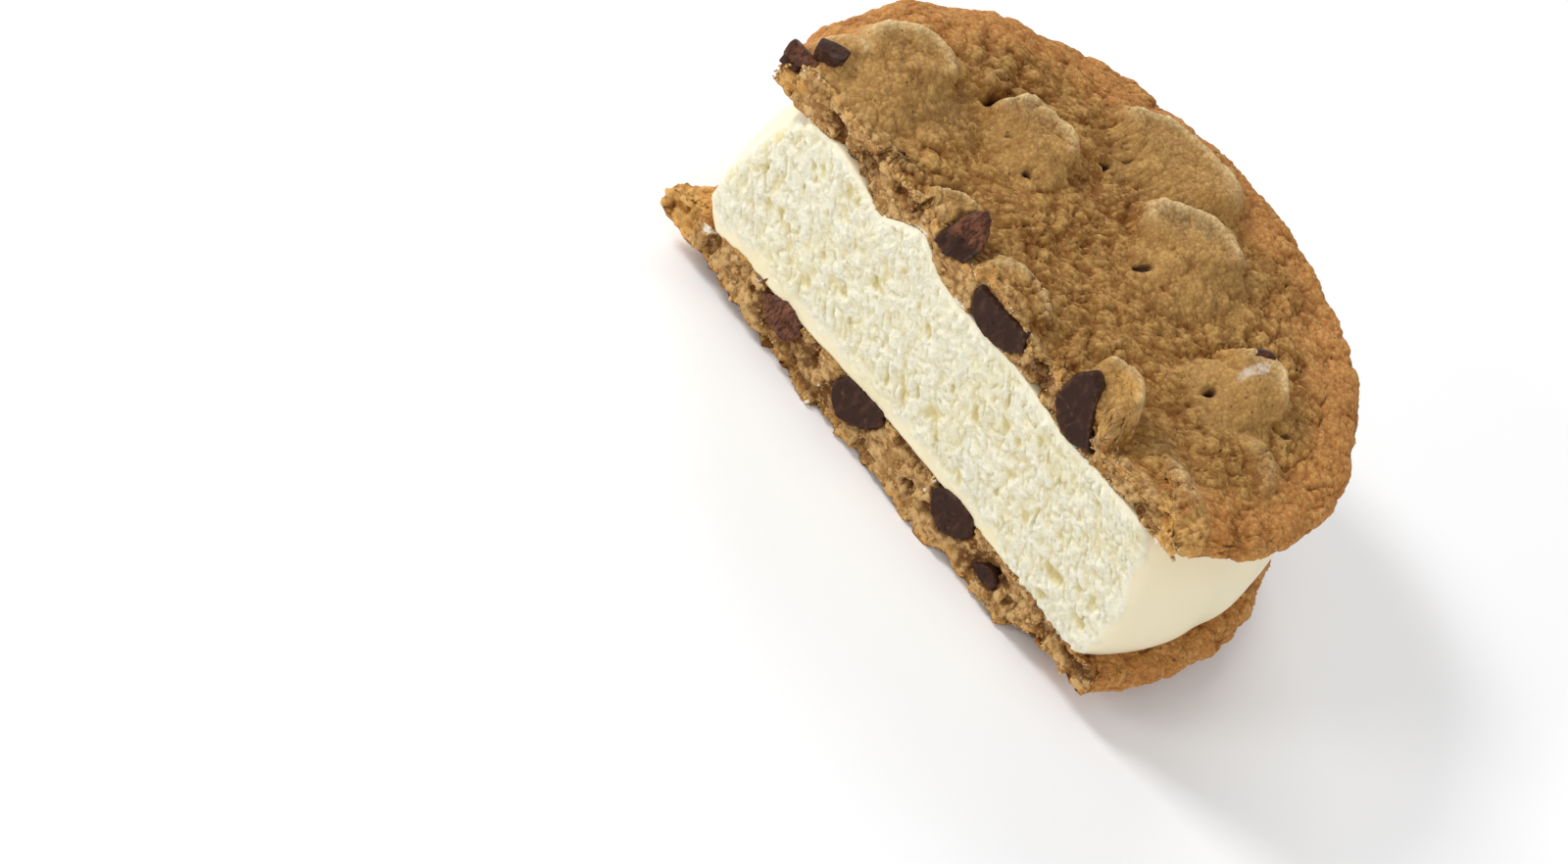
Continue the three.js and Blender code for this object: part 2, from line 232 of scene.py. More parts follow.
@dataclass
class Shell:
    """A closed surface of quads and triangles with named marks, one number for each vertex."""

    points: Array
    quads: Array
    triangles: Array
    marks: dict[str, Array] = field(default_factory=dict)

    def normals(self) -> Array:
        """Vertex normals: the sum of the cross products of each neighbouring face's diagonals.

        Returns:
            One unit vector for each vertex.
        """
        total = np.zeros_like(self.points)
        for faces in (self.quads, self.triangles):
            if not len(faces):
                continue
            corner = self.points[faces]
            last = 3 if faces.shape[1] == 4 else 0
            across = np.cross(corner[:, 2] - corner[:, 0], corner[:, last] - corner[:, 1])
            for k in range(faces.shape[1]):
                for axis in range(3):
                    total[:, axis] += np.bincount(faces[:, k], across[:, axis], len(self.points))
        return total / np.maximum(np.linalg.norm(total, axis=1, keepdims=True), 1e-12)

    def push(self, distance: Array) -> None:
        """Moves each vertex along its normal by its own distance in millimetres."""
        self.points = self.points + self.normals() * distance[:, None]

    def make(self, name: str, finish: bpy.types.Material, slot: str) -> bpy.types.Object:
        """Makes the Blender object, riding on the one body.

        Args:
            name: object name.
            finish: its material.
            slot: the record's material slot; not used.

        Returns:
            The object.
        """
        mesh = bpy.data.meshes.new(name)
        mesh.from_pydata((self.points * METRES).tolist(), [], self.quads.tolist() + self.triangles.tolist())
        mesh.polygons.foreach_set("use_smooth", np.ones(len(mesh.polygons), dtype=bool))
        for mark, values in self.marks.items():
            layer = mesh.attributes.new(mark, "FLOAT", "POINT")
            layer.data.foreach_set("value", np.ascontiguousarray(values, dtype=np.float32))
        mesh.materials.append(finish)
        mesh.update()
        piece = bpy.data.objects.new(name, mesh)
        bpy.context.scene.collection.objects.link(piece)
        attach(piece, "root")
        count = 2 * len(self.quads) + len(self.triangles)
        LOG.info("%s: %d vertices, %d triangles", name, len(self.points), count)
        return piece


def join_shells(shells: list[Shell]) -> Shell:
    """Lays several shells into one, with their marks end to end."""
    starts = np.cumsum([0] + [len(shell.points) for shell in shells[:-1]])
    return Shell(
        np.concatenate([shell.points for shell in shells]),
        np.concatenate([shell.quads + start for shell, start in zip(shells, starts)]),
        np.concatenate([shell.triangles + start for shell, start in zip(shells, starts)]),
        {mark: np.concatenate([shell.marks[mark] for shell in shells]) for mark in shells[0].marks},
    )


def ring_quads(first: Array, second: Array) -> Array:
    """Quads between two closed rings of vertex numbers, both counted the same way round."""
    return np.stack([first, second, np.roll(second, -1), np.roll(first, -1)], axis=1)


def bands(rings: Array) -> Array:
    """Quads of all the bands between rings of vertex numbers that follow one another."""
    return np.concatenate([ring_quads(first, second) for first, second in zip(rings, rings[1:])])


def fan(middle: int, ring: Array, outward: bool) -> Array:
    """Triangles from one vertex to a closed ring, turned over where outward is false.

    Args:
        middle: number of the vertex.
        ring: numbers of the ring's vertices.
        outward: which side is the front.

    Returns:
        The triangles.
    """
    after = np.roll(ring, -1)
    pair = (ring, after) if outward else (after, ring)
    return np.stack([np.full(len(ring), middle), *pair], axis=1)


def unit_ball(around: int, rows: int) -> Shell:
    """Ball of radius 1 with a vertex at each pole: (sin f cos t, sin f sin t, cos f) at turn t and fall f.

    Args:
        around: vertices in a ring.
        rows: bands from pole to pole.

    Returns:
        The ball, without marks.
    """
    turn, fall = np.meshgrid(2 * np.pi * np.arange(around) / around, np.pi * np.arange(1, rows) / rows)
    side = np.stack([np.sin(fall) * np.cos(turn), np.sin(fall) * np.sin(turn), np.cos(fall)], axis=-1)
    points = np.concatenate([[[0.0, 0.0, 1.0]], side.reshape(-1, 3), [[0.0, 0.0, -1.0]]])
    rings = 1 + np.arange((rows - 1) * around).reshape(-1, around)
    caps = np.concatenate([fan(0, rings[0], True), fan(len(points) - 1, rings[-1], False)])
    return Shell(points, bands(rings), caps)


@dataclass(frozen=True)
class Reach:
    """A closed outline about a centre: how far it reaches at named angles, in degrees."""

    angles: tuple[float, ...]
    reaches: tuple[float, ...]

    def at(self, angle: Array) -> Array:
        """Reach at each angle in radians, in even steps between the named ones."""
        return np.interp(np.degrees(angle) % 360.0, self.angles, self.reaches, period=360.0)

    def straight_at(self, angle: Array) -> Array:
        """Reach at each angle in radians where straight sides join the named corners.

        Between corners a and b, 1 / r = (sin(b - t) / r_a + sin(t - a) / r_b) / sin(b - a).

        Args:
            angle: directions from the centre.

        Returns:
            One reach for each direction.
        """
        corner = np.radians(np.array(self.angles + (self.angles[0] + 360.0,)))
        reach = np.array(self.reaches + self.reaches[:1])
        turned = (angle - corner[0]) % (2.0 * np.pi) + corner[0]
        k = np.clip(np.searchsorted(corner, turned, side="right") - 1, 0, len(self.angles) - 1)
        a, b = corner[k], corner[k + 1]
        return np.sin(b - a) / (np.sin(b - turned) / reach[k] + np.sin(turned - a) / reach[k + 1])


def even(*reaches: float) -> Reach:
    """An outline given at even steps of angle, from +X turning to +Y."""
    return Reach(tuple(360.0 * k / len(reaches) for k in range(len(reaches))), reaches)


@dataclass(frozen=True)
class Lobe:
    """A stretch of outline that is full or short: by * max(0, cos(angle - towards))^sharp."""

    towards: float
    by: float
    sharp: float

    def at(self, angle: Array) -> Array:
        """Addition to the radius at each angle."""
        return self.by * np.maximum(0.0, np.cos(angle - math.radians(self.towards))) ** self.sharp


@dataclass
class CutRound:
    """One layer of the sandwich: a round with a part cut off at CUT_Y, built as a closed shell."""

    name: str
    radius: float
    centre_x: float
    centre_y: float
    depth_share: float = 1.0
    lobes: tuple[Lobe, ...] = ()
    cut_steps: int = 320
    arc_steps: int = 160
    levels: int = 26
    crowd: float = 1.5
    settle: float = 0.70
    middle: tuple[float, float] = (0.0, 6.0)
    under_shares: tuple[float, ...] = (1.0, 0.975, 0.945, 0.91, 0.87, 0.82, 0.74, 0.62, 0.42, 0.2)
    grain: Grain = Grain(1)

    def radius_at(self, angle: Array) -> Array:
        """Outline radius at each angle: an ellipse, the lobes and a gentle waver.

        Args:
            angle: directions from the middle, in radians.

        Returns:
            The radii.
        """
        spot = level(np.cos(angle), np.sin(angle))
        oval = self.radius / np.hypot(np.cos(angle), np.sin(angle) / self.depth_share)
        waver = 0.40 * self.grain.smooth(spot * 4.0, 1.1) + 0.28 * self.grain.smooth(spot * 9.0 + 5.0, 1.0)
        return oval + sum(lobe.at(angle) for lobe in self.lobes) + waver

    def inset(self, x: Array, y: Array) -> Array:
        """Distance inwards from the round outline, along the radius."""
        dx, dy = x - self.centre_x, y - self.centre_y
        return self.radius_at(np.arctan2(dy, dx)) - np.hypot(dx, dy)

    def outline(self) -> tuple[Array, Array, Array, Array]:
        """Boundary from the near corner round the arc to the far corner and back along the cut.

        Returns:
            x, y, the angle about the centre, and 1 on the cut or 0 on the arc.
        """
        start = math.asin((CUT_Y - self.centre_y) / self.radius)
        third = (math.pi - 2.0 * start) / 3.0
        sides = [
            start + third * np.arange(self.arc_steps) / self.arc_steps,
            start + third * (1.0 + np.arange(self.cut_steps) / self.cut_steps),
            start + third * (2.0 + np.arange(self.arc_steps + 1) / self.arc_steps),
        ]
        angle = np.concatenate(sides)
        reach = self.radius_at(angle)
        x, y = self.centre_x + reach * np.cos(angle), self.centre_y + reach * np.sin(angle)
        share = np.arange(1, self.cut_steps) / self.cut_steps
        x = np.concatenate([x, blend(x[-1], x[0], share)])
        y = np.concatenate([y, np.full(len(share), CUT_Y)])
        on_cut = np.concatenate([np.zeros(len(angle)), np.ones(len(share))])
        on_cut[[0, len(angle) - 1]] = 1.0
        y[on_cut > 0.5] = CUT_Y
        return x, y, np.concatenate([angle, np.zeros(len(share))]), on_cut

    def top(self, x: Array, y: Array) -> Array:
        """Height of the upper sheet."""
        raise NotImplementedError

    def under(self, x: Array, y: Array) -> Array:
        """Height of the lower sheet."""
        raise NotImplementedError

    def edge(self, share: float, rim: tuple[Array, ...]) -> tuple[Array, Array]:
        """Wall place at a share of its height, 0 at the top.

        Args:
            share: share of the wall's height, downwards.
            rim: x, y, angle and on_cut of the outline.

        Returns:
            x and y of each outline point at that share.
        """
        raise NotImplementedError

    def square(self) -> tuple[Array, Array]:
        """Square grid from -1 to 1, with each point (a, b) on the ring max(|a|, |b|).

        Places round a ring are counted in steps from its corner (1, -1): up the side a = 1, back along
        b = 1, down a = -1 and forward along b = -1.

        Returns:
            Ring of each point, from 0 to 1, and its place round the ring.
        """
        along, up = self.cut_steps, self.arc_steps
        a, b = np.meshgrid(np.linspace(-1, 1, along + 1), np.linspace(-1, 1, up + 1), indexing="ij")
        ring = np.maximum(np.maximum(abs(a), abs(b)), 1e-9)
        across, rise = a / ring, b / ring
        on_end, on_side = abs(a) >= abs(b), abs(b) >= abs(a)
        place = np.select(
            [on_end & (a > 0), on_side & (b > 0), on_end & (a < 0)],
            [(rise + 1) / 2 * up, up + (1 - across) / 2 * along, up + along + (1 - rise) / 2 * up],
            2 * up + along + (across + 1) / 2 * along)
        return np.minimum(ring, 1.0), place

    def sheet(self, rim: tuple[Array, ...]) -> tuple[Array, Array]:
        """Lays the square grid into the outline ring by ring.

        A point on ring k at place s goes to middle + k' (outline(s) - middle), where
        k' = 1 - (1 - k)^crowd draws the rings together near the rim. The wall's own set-backs and
        bulges are eased in from k' = settle to the rim.

        Args:
            rim: x, y, angle and on_cut of the outline.

        Returns:
            x and y of the grid.
        """
        ring, place = self.square()
        share = 1.0 - (1.0 - ring) ** self.crowd
        near_rim = ease(self.settle, 1.0, share)
        steps = np.arange(len(rim[0]) + 1)
        laid = []
        for middle, plain, high in zip(self.middle, rim[:2], self.edge(0.0, rim)):
            set_back = high - plain
            inside = blend(middle, np.interp(place, steps, np.append(plain, plain[0])), share)
            laid.append(inside + near_rim * np.interp(place, steps, np.append(set_back, set_back[0])))
        return laid[0], laid[1]

    def shell(self) -> Shell:
        """Closed shell: the top sheet, the wall level by level and the under sheet's rings to its middle.

        Returns:
            The shell, with marks wall (1 on the wall), low (1 on the under sheet) and cut (1 on the cut).
        """
        rim = self.outline()
        on_cut = rim[3]
        grid_x, grid_y = self.sheet(rim)
        number = np.arange(grid_x.size).reshape(grid_x.shape)
        border = np.concatenate([number[-1, :-1], number[:0:-1, -1], number[0, :0:-1], number[:-1, 0]])
        x, y = grid_x.ravel(), grid_y.ravel()
        z = self.top(x, y)
        top_cut = np.zeros(len(x))
        top_cut[border] = on_cut
        rows = [columns(x, y, z, 0.0, 0.0, top_cut)]
        low_x, low_y = self.edge(1.0, rim)
        high_z, low_z = z[border], self.under(low_x, low_y)
        for part in np.arange(1, self.levels) / self.levels:
            rows.append(columns(*self.edge(part, rim), blend(high_z, low_z, part), 1.0, 0.0, on_cut))
        for part in self.under_shares:
            ring_x, ring_y = blend(self.middle[0], low_x, part), blend(self.middle[1], low_y, part)
            ring_cut = on_cut * (part == 1.0)
            rows.append(columns(ring_x, ring_y, self.under(ring_x, ring_y), 0.0, 1.0, ring_cut))
        x, y = np.array([self.middle]).T
        rows.append(columns(x, y, self.under(x, y), 0.0, 1.0, 0.0))
        table = np.concatenate(rows)
        rings = np.arange(number.size, len(table) - 1).reshape(-1, len(border))
        squares = np.stack([number[:-1, :-1], number[1:, :-1], number[1:, 1:], number[:-1, 1:]], axis=-1)
        quads = np.concatenate([squares.reshape(-1, 4), bands(np.vstack([border, rings]))])
        wall, low, cut = table[:, 3:].T
        closing = fan(len(table) - 1, rings[-1], False)
        return Shell(table[:, :3], quads, closing, {"wall": wall, "low": low, "cut": cut})


# ---------------------------------------------------------------- chocolate


class Snap(Enum):
    """How a piece of chocolate came apart."""

    SLICED = "sliced smooth by the knife"
    BROKEN = "broken rough and reddish"


@dataclass(frozen=True)
class CutChip:
    """A chocolate chip that the cut went through, with its face near the cut plane.

    Behind the face its outline shrinks as sqrt(1 - t^2) to a blunt nose. The face leans back by lean
    millimetres for each one upwards. A score is a shallow groove between two places of the face. Broken
    chocolate is reddish from the height red_from above the chip's middle.
    """

    node: str
    x: float
    z: float
    outline: Reach
    back: float
    snap: Snap = Snap.SLICED
    depth: float = 4.2
    lean: float = 0.0
    red_from: float = -9.0
    scores: tuple[tuple[float, float, float, float], ...] = ()
    bevel: float = 0.20
    around: int = 144
    face_rings: int = 32
    body_rings: int = 12

    def outside(self, x: Array, z: Array) -> Array:
        """Distance in millimetres out from the face's outline along its radius, below 0 inside it."""
        dx, dz = x - self.x, z - self.z
        return np.hypot(dx, dz) - self.outline.straight_at(np.arctan2(dz, dx))

    def scored(self, x: Array, z: Array) -> Array:
        """Mark of the scores: 1 on their lines, gone 0.35 mm away.

        Args:
            x: places along the cut.
            z: heights on it.

        Returns:
            The mark at each place.
        """
        mark = np.zeros_like(x)
        for x0, z0, x1, z1 in self.scores:
            dx, dz = x1 - x0, z1 - z0
            share = np.clip(((x - x0) * dx + (z - z0) * dz) / (dx * dx + dz * dz), 0.0, 1.0)
            away = np.hypot(x - x0 - share * dx, z - z0 - share * dz)
            mark = np.maximum(mark, ease(0.35, 0.05, away))
        return mark

    def facets(self, u: Array, v: Array, seed: int, planes: int = 9) -> tuple[Array, Array]:
        """Flat broken faces: at each place the fourth highest of several slanting planes.

        Args:
            u: places across the face, from its middle.
            v: places up the face, from its middle.
            seed: which draw of planes.
            planes: how many are drawn.

        Returns:
            Height of the faces, and a draw from 0 to 1 for each face.
        """
        draw = np.random.default_rng(seed)
        slopes, lifts = draw.uniform(-0.55, 0.55, (2, planes)), draw.uniform(-0.5, 0.5, planes)
        heights = u[:, None] * slopes[0] + v[:, None] * slopes[1] + lifts
        order = np.argsort(heights, axis=1)[:, -4]
        return heights[np.arange(len(u)), order], draw.uniform(0.0, 1.0, planes)[order]

    def shell(self, grain: Grain) -> Shell:
        """Shell of rings: the face from its middle out, a small bevel, then the body to its nose.

        Args:
            grain: random fields for its relief.

        Returns:
            The shell, with marks worn (dusty rim and scores) and raw (broken chocolate).
        """
        around, face_rings, body_rings = self.around, self.face_rings, self.body_rings
        turn = 2.0 * np.pi * np.arange(around) / around
        face = (np.arange(1, face_rings + 1) / face_rings) ** 0.85
        body = np.arange(1, body_rings + 1) / (body_rings + 0.4)
        grow = np.concatenate([0.985 * face, np.sqrt(1.0 - body**2)])
        sink = np.concatenate([self.bevel * ease(0.90, 1.0, face) ** 2, self.bevel + body * self.depth])
        circle = level(np.cos(turn), np.sin(turn))
        reach = self.outline.straight_at(turn)
        reach = 0.25 * np.roll(reach, 1) + 0.5 * reach + 0.25 * np.roll(reach, -1)
        reach *= 1.0 + 0.03 * grain.smooth(circle * 3.0, 1.0) + 0.03 * grain.smooth(circle * 9.0, 1.0)
        u = np.append(0.0, (grow[:, None] * reach * np.cos(turn)).ravel())
        v = np.append(0.0, (grow[:, None] * reach * np.sin(turn)).ravel())
        deep = np.append(0.0, np.repeat(sink, around))
        spot = np.stack([self.x + u, CUT_Y + self.back + deep + self.lean * v, self.z + v], axis=1)
        behind = np.ones(body_rings)
        on_face = np.append(1.0, np.repeat(np.append(np.ones(face_rings), 0.0 * behind), around))
        edge = np.append(0.0, np.repeat(np.append(ease(0.8, 1.0, face), behind), around))
        raw = 1.0 if self.snap is Snap.BROKEN else 0.0
        rough = grain.layered(spot, 1.3, 4, 0.6)
        cliffs, draws = self.facets(u, v, grain.seed)
        scored = self.scored(spot[:, 0], spot[:, 2])
        relief = blend(0.12 * rough + 0.12 * cliffs, 0.75 * cliffs + 0.28 * rough, raw)
        spot[:, 1] += on_face * (relief * (1.0 - 0.5 * edge) + 0.14 * scored)
        rings = 1 + np.arange((face_rings + body_rings) * around).reshape(-1, around)
        nose = np.array([[self.x, CUT_Y + self.back + self.bevel + self.depth, self.z]])
        points = np.concatenate([spot, nose])
        triangles = np.concatenate([fan(0, rings[0], True), fan(len(spot), rings[-1], False)])
        worn = np.clip(np.append(edge * (0.3 + 0.7 * rough) + scored * (0.5 + rough), 1.0), 0.0, 1.0)
        reddish = ease(-0.5, 0.5, np.append(v, 0.0) - self.red_from + 0.5 * grain.smooth(points, 1.2))
        patch = np.clip(raw * reddish * (0.45 + 0.7 * np.append(draws, 0.5)), 0.0, 1.0)
        return Shell(points, bands(rings)[:, ::-1], triangles, {"worn": worn, "raw": patch})


@dataclass(frozen=True)
class BeddedChip:
    """A snapped piece of chocolate bedded in the top face, turned about Z and leaned.

    Its half sizes are those of a box whose corners and edges slanting planes have cut off. It narrows
    along its length by taper.
    """

    node: str
    x: float
    y: float
    z: float
    half: tuple[float, float, float]
    turn: float
    lean: float
    taper: float = 0.0
    raw: float = 0.2
    sharp: float = 16.0
    slants: int = 8

    def shell(self, grain: Grain) -> Shell:
        """Shell on a grid of turn and fall, its radius the soft least distance to all the planes.

        In a direction d, 1 / r = (sum of max(0, n . d / h)^sharp)^(1 / sharp) over the planes of normal
        n at distance h: the box's six and the slants drawn at random.

        Args:
            grain: random fields for its relief.

        Returns:
            The shell, with marks worn and raw.
        """
        half = np.array(self.half)
        shell = unit_ball(64, 36)
        ball = shell.points * half
        ball /= np.linalg.norm(ball, axis=1, keepdims=True)
        draw = np.random.default_rng(grain.seed)
        slants = draw.normal(size=(self.slants, 3))
        slants /= np.linalg.norm(slants, axis=1, keepdims=True)
        normals = np.concatenate([np.eye(3), -np.eye(3), slants])
        cut_off = draw.uniform(0.62, 0.85, self.slants) * (abs(slants) @ half)
        press = np.maximum(0.0, ball @ normals.T / np.concatenate([half, half, cut_off]))
        ball = ball / (press**self.sharp).sum(axis=1, keepdims=True) ** (1.0 / self.sharp)
        ball[:, 1] *= 1.0 - self.taper * ball[:, 0] / half[0]
        turned = Matrix.Rotation(math.radians(self.turn), 3, "Z")
        spin = turned @ Matrix.Rotation(math.radians(self.lean), 3, "X")
        points = ball @ np.array(spin).T + np.array([self.x, self.y, self.z])
        points += 0.07 * grain.drift(points, 0.7, (0.0, 9.0, 18.0))
        points[:, 1] = np.maximum(points[:, 1], FRONT_Y)
        draws = draw.uniform(0.0, 1.0, len(normals))[np.argmax(press, axis=1)]
        shell.points = points
        shell.marks = {
            "worn": np.clip(grain.smooth(points, 0.8), 0.0, 1.0),
            "raw": np.clip(self.raw + 0.7 * (draws - 0.5) + 0.3 * grain.smooth(points, 1.0), 0.0, 1.0),
        }
        return shell


# ---------------------------------------------------------------- cookies


@dataclass(frozen=True)
class Puff:
    """A swell over a chip: steep on the side it heads for, and running out gently on the other.

    Steep and gentle are the widths of the two slopes, as shares of the outline's reach. Pale and grey are
    the strengths of its flour and of its hollow; the flour on the gentle side is full at the share fade.
    """

    x: float
    y: float
    heading: float
    height: float
    steep: float
    outline: Reach
    gentle: float = 0.95
    pale: float = 1.0
    grey: float = 0.0
    fade: float = 0.45

    def at(self, x: Array, y: Array) -> tuple[Array, Array, Array, Array]:
        """Height that eases from 0 on the outline, r = 1, to full at r = 1 - width.

        The width goes from gentle to steep as the direction turns toward the heading. A low lip follows
        the upper end of the steep side.

        Args:
            x: places along X.
            y: places along Y.

        Returns:
            The added height; a mark on the lip, which the finish paints as paler thin dough and a painted
            highlight;
            one on the floury skin, up to the steep side's upper half; and one on the greyish hollow inside
            the lip.
        """
        dx, dy = x - self.x, y - self.y
        angle = np.arctan2(dy, dx)
        r = np.hypot(dx, dy) / self.outline.at(angle)
        toward = np.cos(angle - math.radians(self.heading))
        width = blend(self.gentle, self.steep, ease(-0.45, 0.35, toward))
        facing = ease(0.0, 0.6, toward)
        lip_line = 1.0 - 0.95 * width
        swell = self.height * ease(1.0, 1.0 - width, r) + 0.30 * facing * bell(r, lip_line, 0.40 * width)
        lip = facing * bell(r, lip_line, 0.38 * width)
        sharp_side = ease(-0.55, 0.25, toward)
        outer = blend(1.35, 1.0 - 0.30 * width, sharp_side)
        inner = blend(self.fade, 1.0 - 0.62 * width, sharp_side)
        hollow = self.grey * bell(r, 1.0 - 1.9 * width, 0.8 * width) * ease(0.30, 0.80, toward)
        return swell, lip, self.pale * ease(outer, inner, r), hollow


@dataclass(frozen=True)
class Pit:
    """A small hole in a cookie's top: a flat-bottomed oval that its edge runs into smoothly."""

    x: float
    y: float
    long: float
    short: float
    heading: float
    depth: float

    def at(self, x: Array, y: Array) -> Array:
        """Share of the pit's depth at each place, 1 in its middle.

        Args:
            x: places along the cut.
            y: places across it.

        Returns:
            The shares.
        """
        c, s = math.cos(math.radians(self.heading)), math.sin(math.radians(self.heading))
        dx, dy = x - self.x, y - self.y
        r = np.hypot((dx * c + dy * s) / self.long, (dy * c - dx * s) / self.short)
        return ease(1.15, 0.35, r)


@dataclass(frozen=True)
class Spot:
    """A round soft-edged spot on one face, in two of the frame's axes: amount times two bells."""

    u: float
    v: float
    wide: float
    high: float
    amount: float

    def at(self, u: Array, v: Array) -> Array:
        """Amount at each place."""
        return self.amount * bell(u, self.u, self.wide) * bell(v, self.v, self.high)


DOUGH_MARKS = ("rim", "crumb", "crease", "raised", "dark", "tint", "skin", "crest_flour_and_highlight", "floury", "grey",
               "shade", "pit", "bloom", "frost", "golden")


def dough_marks(count: int, **given: Array) -> dict[str, Array]:
    """All the marks that the dough's finish reads, 0 at every vertex where they aren't given."""
    return {mark: given.get(mark, np.zeros(count)) for mark in DOUGH_MARKS}


@dataclass
class Cookie(CutRound):
    """A cookie of the sandwich, cracked on its baked skin and crumbly on its cut."""

    rim_z: float = 0.0
    rim_band: float = 1.8
    rim_width: float = 6.0
    bulge: float = 0.35
    chips: tuple[CutChip, ...] = ()
    cavities: tuple[Spot, ...] = ()
    skin_depth: float = 1.0
    lump_size: float = 4.8
    knob_size: float = 2.8
    bead_size: float = 1.05
    fold_size: float = 1.7
    sand_size: float = 0.7
    crumb_sizes: tuple[float, float, float] = (1.7, 0.9, 0.5)

    def hollow(self, x: Array, z: Array) -> Array:
        """How far the cut has crumbled back from its plane, without the chips' pockets.

        Args:
            x: places along the cut.
            z: heights on it.

        Returns:
            The set-back.
        """
        spot = np.stack([x, 0.0 * x, z], axis=-1)
        broken = 0.30 + 0.55 * self.grain.layered(spot, 3.0, 3, 0.6)
        holes = 1.3 * ease(0.28, 0.62, self.grain.smooth(spot + 40.0, 1.9))
        return np.maximum(broken, -0.05) + holes + sum(cavity.at(x, z) for cavity in self.cavities)

    def cut_depth(self, x: Array, z: Array) -> Array:
        """Set-back of the cut: its crumbled hollow, and a pocket with a narrow gap round each chip.

        Args:
            x: places along the cut.
            z: heights on it.

        Returns:
            The set-back.
        """
        depth = self.hollow(x, z)
        for chip in self.chips:
            gap = chip.outside(x, z)
            floor = chip.back + chip.lean * (z - chip.z) + 1.0
            depth = blend(depth, np.maximum(depth, floor), ease(0.5, 0.2, gap))
        return depth

    def edge(self, share: float, rim: tuple[Array, ...]) -> tuple[Array, Array]:
        """Wall place: the rim bulges by bulge sin(pi share); the cut is set back by cut_depth.

        Args:
            share: way down the wall, 0 at its top and 1 at its foot.
            rim: x, y, angle and on_cut of the outline.

        Returns:
            Both coordinates of the wall at that height.
        """
        x, y, angle, on_cut = rim
        out = self.bulge * math.sin(math.pi * share)
        z = blend(self.top(x, y), self.under(x, y), share)
        cut_y = CUT_Y + self.cut_depth(x, z)
        return (
            np.where(on_cut > 0.5, x, x + out * np.cos(angle)),
            np.where(on_cut > 0.5, cut_y, y + out * np.sin(angle)),
        )

    def marked(self, shell: Shell) -> dict[str, Array]:
        """This cookie's own marks from 0 to 1, and coarse where its skin is torn off."""
        raise NotImplementedError

    def crackled(self, points: Array, size: float, seed: int, width: float) -> tuple[Array, Array]:
        """Domes a - r^1.5 about scattered points, r the distance in cell edges, and the cracks between.

        Args:
            points: places.
            size: spacing of the domes.
            seed: added to this cookie's own.
            width: width of a crack, in cell edges.

        Returns:
            Height of the domes, about 0 on average, and the mark of the cracks.
        """
        near, second, _ = self.grain.other(seed).cells(points, size)
        return 0.40 - near**1.5, ease(width, 0.0, second - near)

    def baked(self, points: Array, bent: Array, rim: Array, floury: Array) -> tuple[Array, Array, Array]:
        """Relief of the baked skin: cracked lumps of three sizes, folds and sand, calmer where floury.

        Args:
            points: places.
            bent: the same places, bent a little so that no cell runs true.
            rim: mark of the rim.
            floury: mark of the floury puffs.

        Returns:
            The relief, and as marks the depth of its creases, darkened by the finish as painted shade, and
            the height of its small lumps, from which the finish paints light on high lumps and shade in low
            places.
        """
        calm = 1.0 - 0.55 * floury
        active = (1.0 - 0.5 * rim) * calm
        patchy = active * (0.45 + 0.55 * ease(-0.35, 0.35, self.grain.smooth(points + 70.0, 3.6)))
        swayed = points + 1.5 * self.grain.drift(points, 5.0)
        lumps, splits = self.crackled(swayed, self.lump_size, 7, 0.085)
        knobs, cracks = self.crackled(bent, self.knob_size, 3, 0.13)
        beads, lines = self.crackled(bent, self.bead_size, 8, 0.22)
        folds = self.grain.folds(bent + 80.0, self.fold_size, 2) - 0.30
        sand = self.grain.layered(points, self.sand_size, 2, 0.7)
        small = 0.70 * knobs * patchy + 0.30 * folds * active + 0.10 * beads
        large = 0.88 * lumps * calm * (0.65 + 0.2 * rim)
        cracked = 0.42 * splits * patchy + 0.36 * cracks * patchy + 0.08 * lines * active
        # Painted shade: the finish darkens the cracks by this mark.
        crease = splits * patchy + 0.85 * cracks * patchy + 0.35 * lines * active
        # The raised mark: the finish paints light on the high lumps and shade in the low places between them.
        return large + small + 0.14 * sand - cracked, crease, 0.5 + (small + 0.12 * sand) / 0.55

    def crumbled(self, points: Array, bent: Array) -> tuple[Array, Array, Array]:
        """Relief of the crumb: cells of three sizes, each swelling toward its middle as 0.5 - distance.

        Args:
            points: places.
            bent: the same places, bent a little so that no cell runs true.

        Returns:
            The relief, the mark of the gaps between crumbs, painted dark as shade in the finish, and a random
            tint for each crumb.
        """
        big_near, _, big_draw = self.grain.other(4).cells(bent, self.crumb_sizes[0])
        near, _, draw = self.grain.other(5).cells(bent, self.crumb_sizes[1])
        fine_near, _, _ = self.grain.other(6).cells(points, self.crumb_sizes[2])
        loose = 0.5 + 0.5 * self.grain.smooth(points + 90.0, 2.8)
        relief = 0.50 * (0.5 - big_near) * (0.3 + 0.9 * big_draw)
        relief += 0.60 * (0.45 - near) * (0.3 + 0.7 * loose) * (0.5 + draw)
        relief += 0.24 * (0.45 - fine_near) + 0.16 * self.grain.layered(points, 0.9, 2, 0.7)
        dark = 0.6 * ease(0.40, 0.80, near) + 0.4 * ease(0.5, 0.95, big_near)
        return relief, dark, blend(draw, big_draw, 0.4)

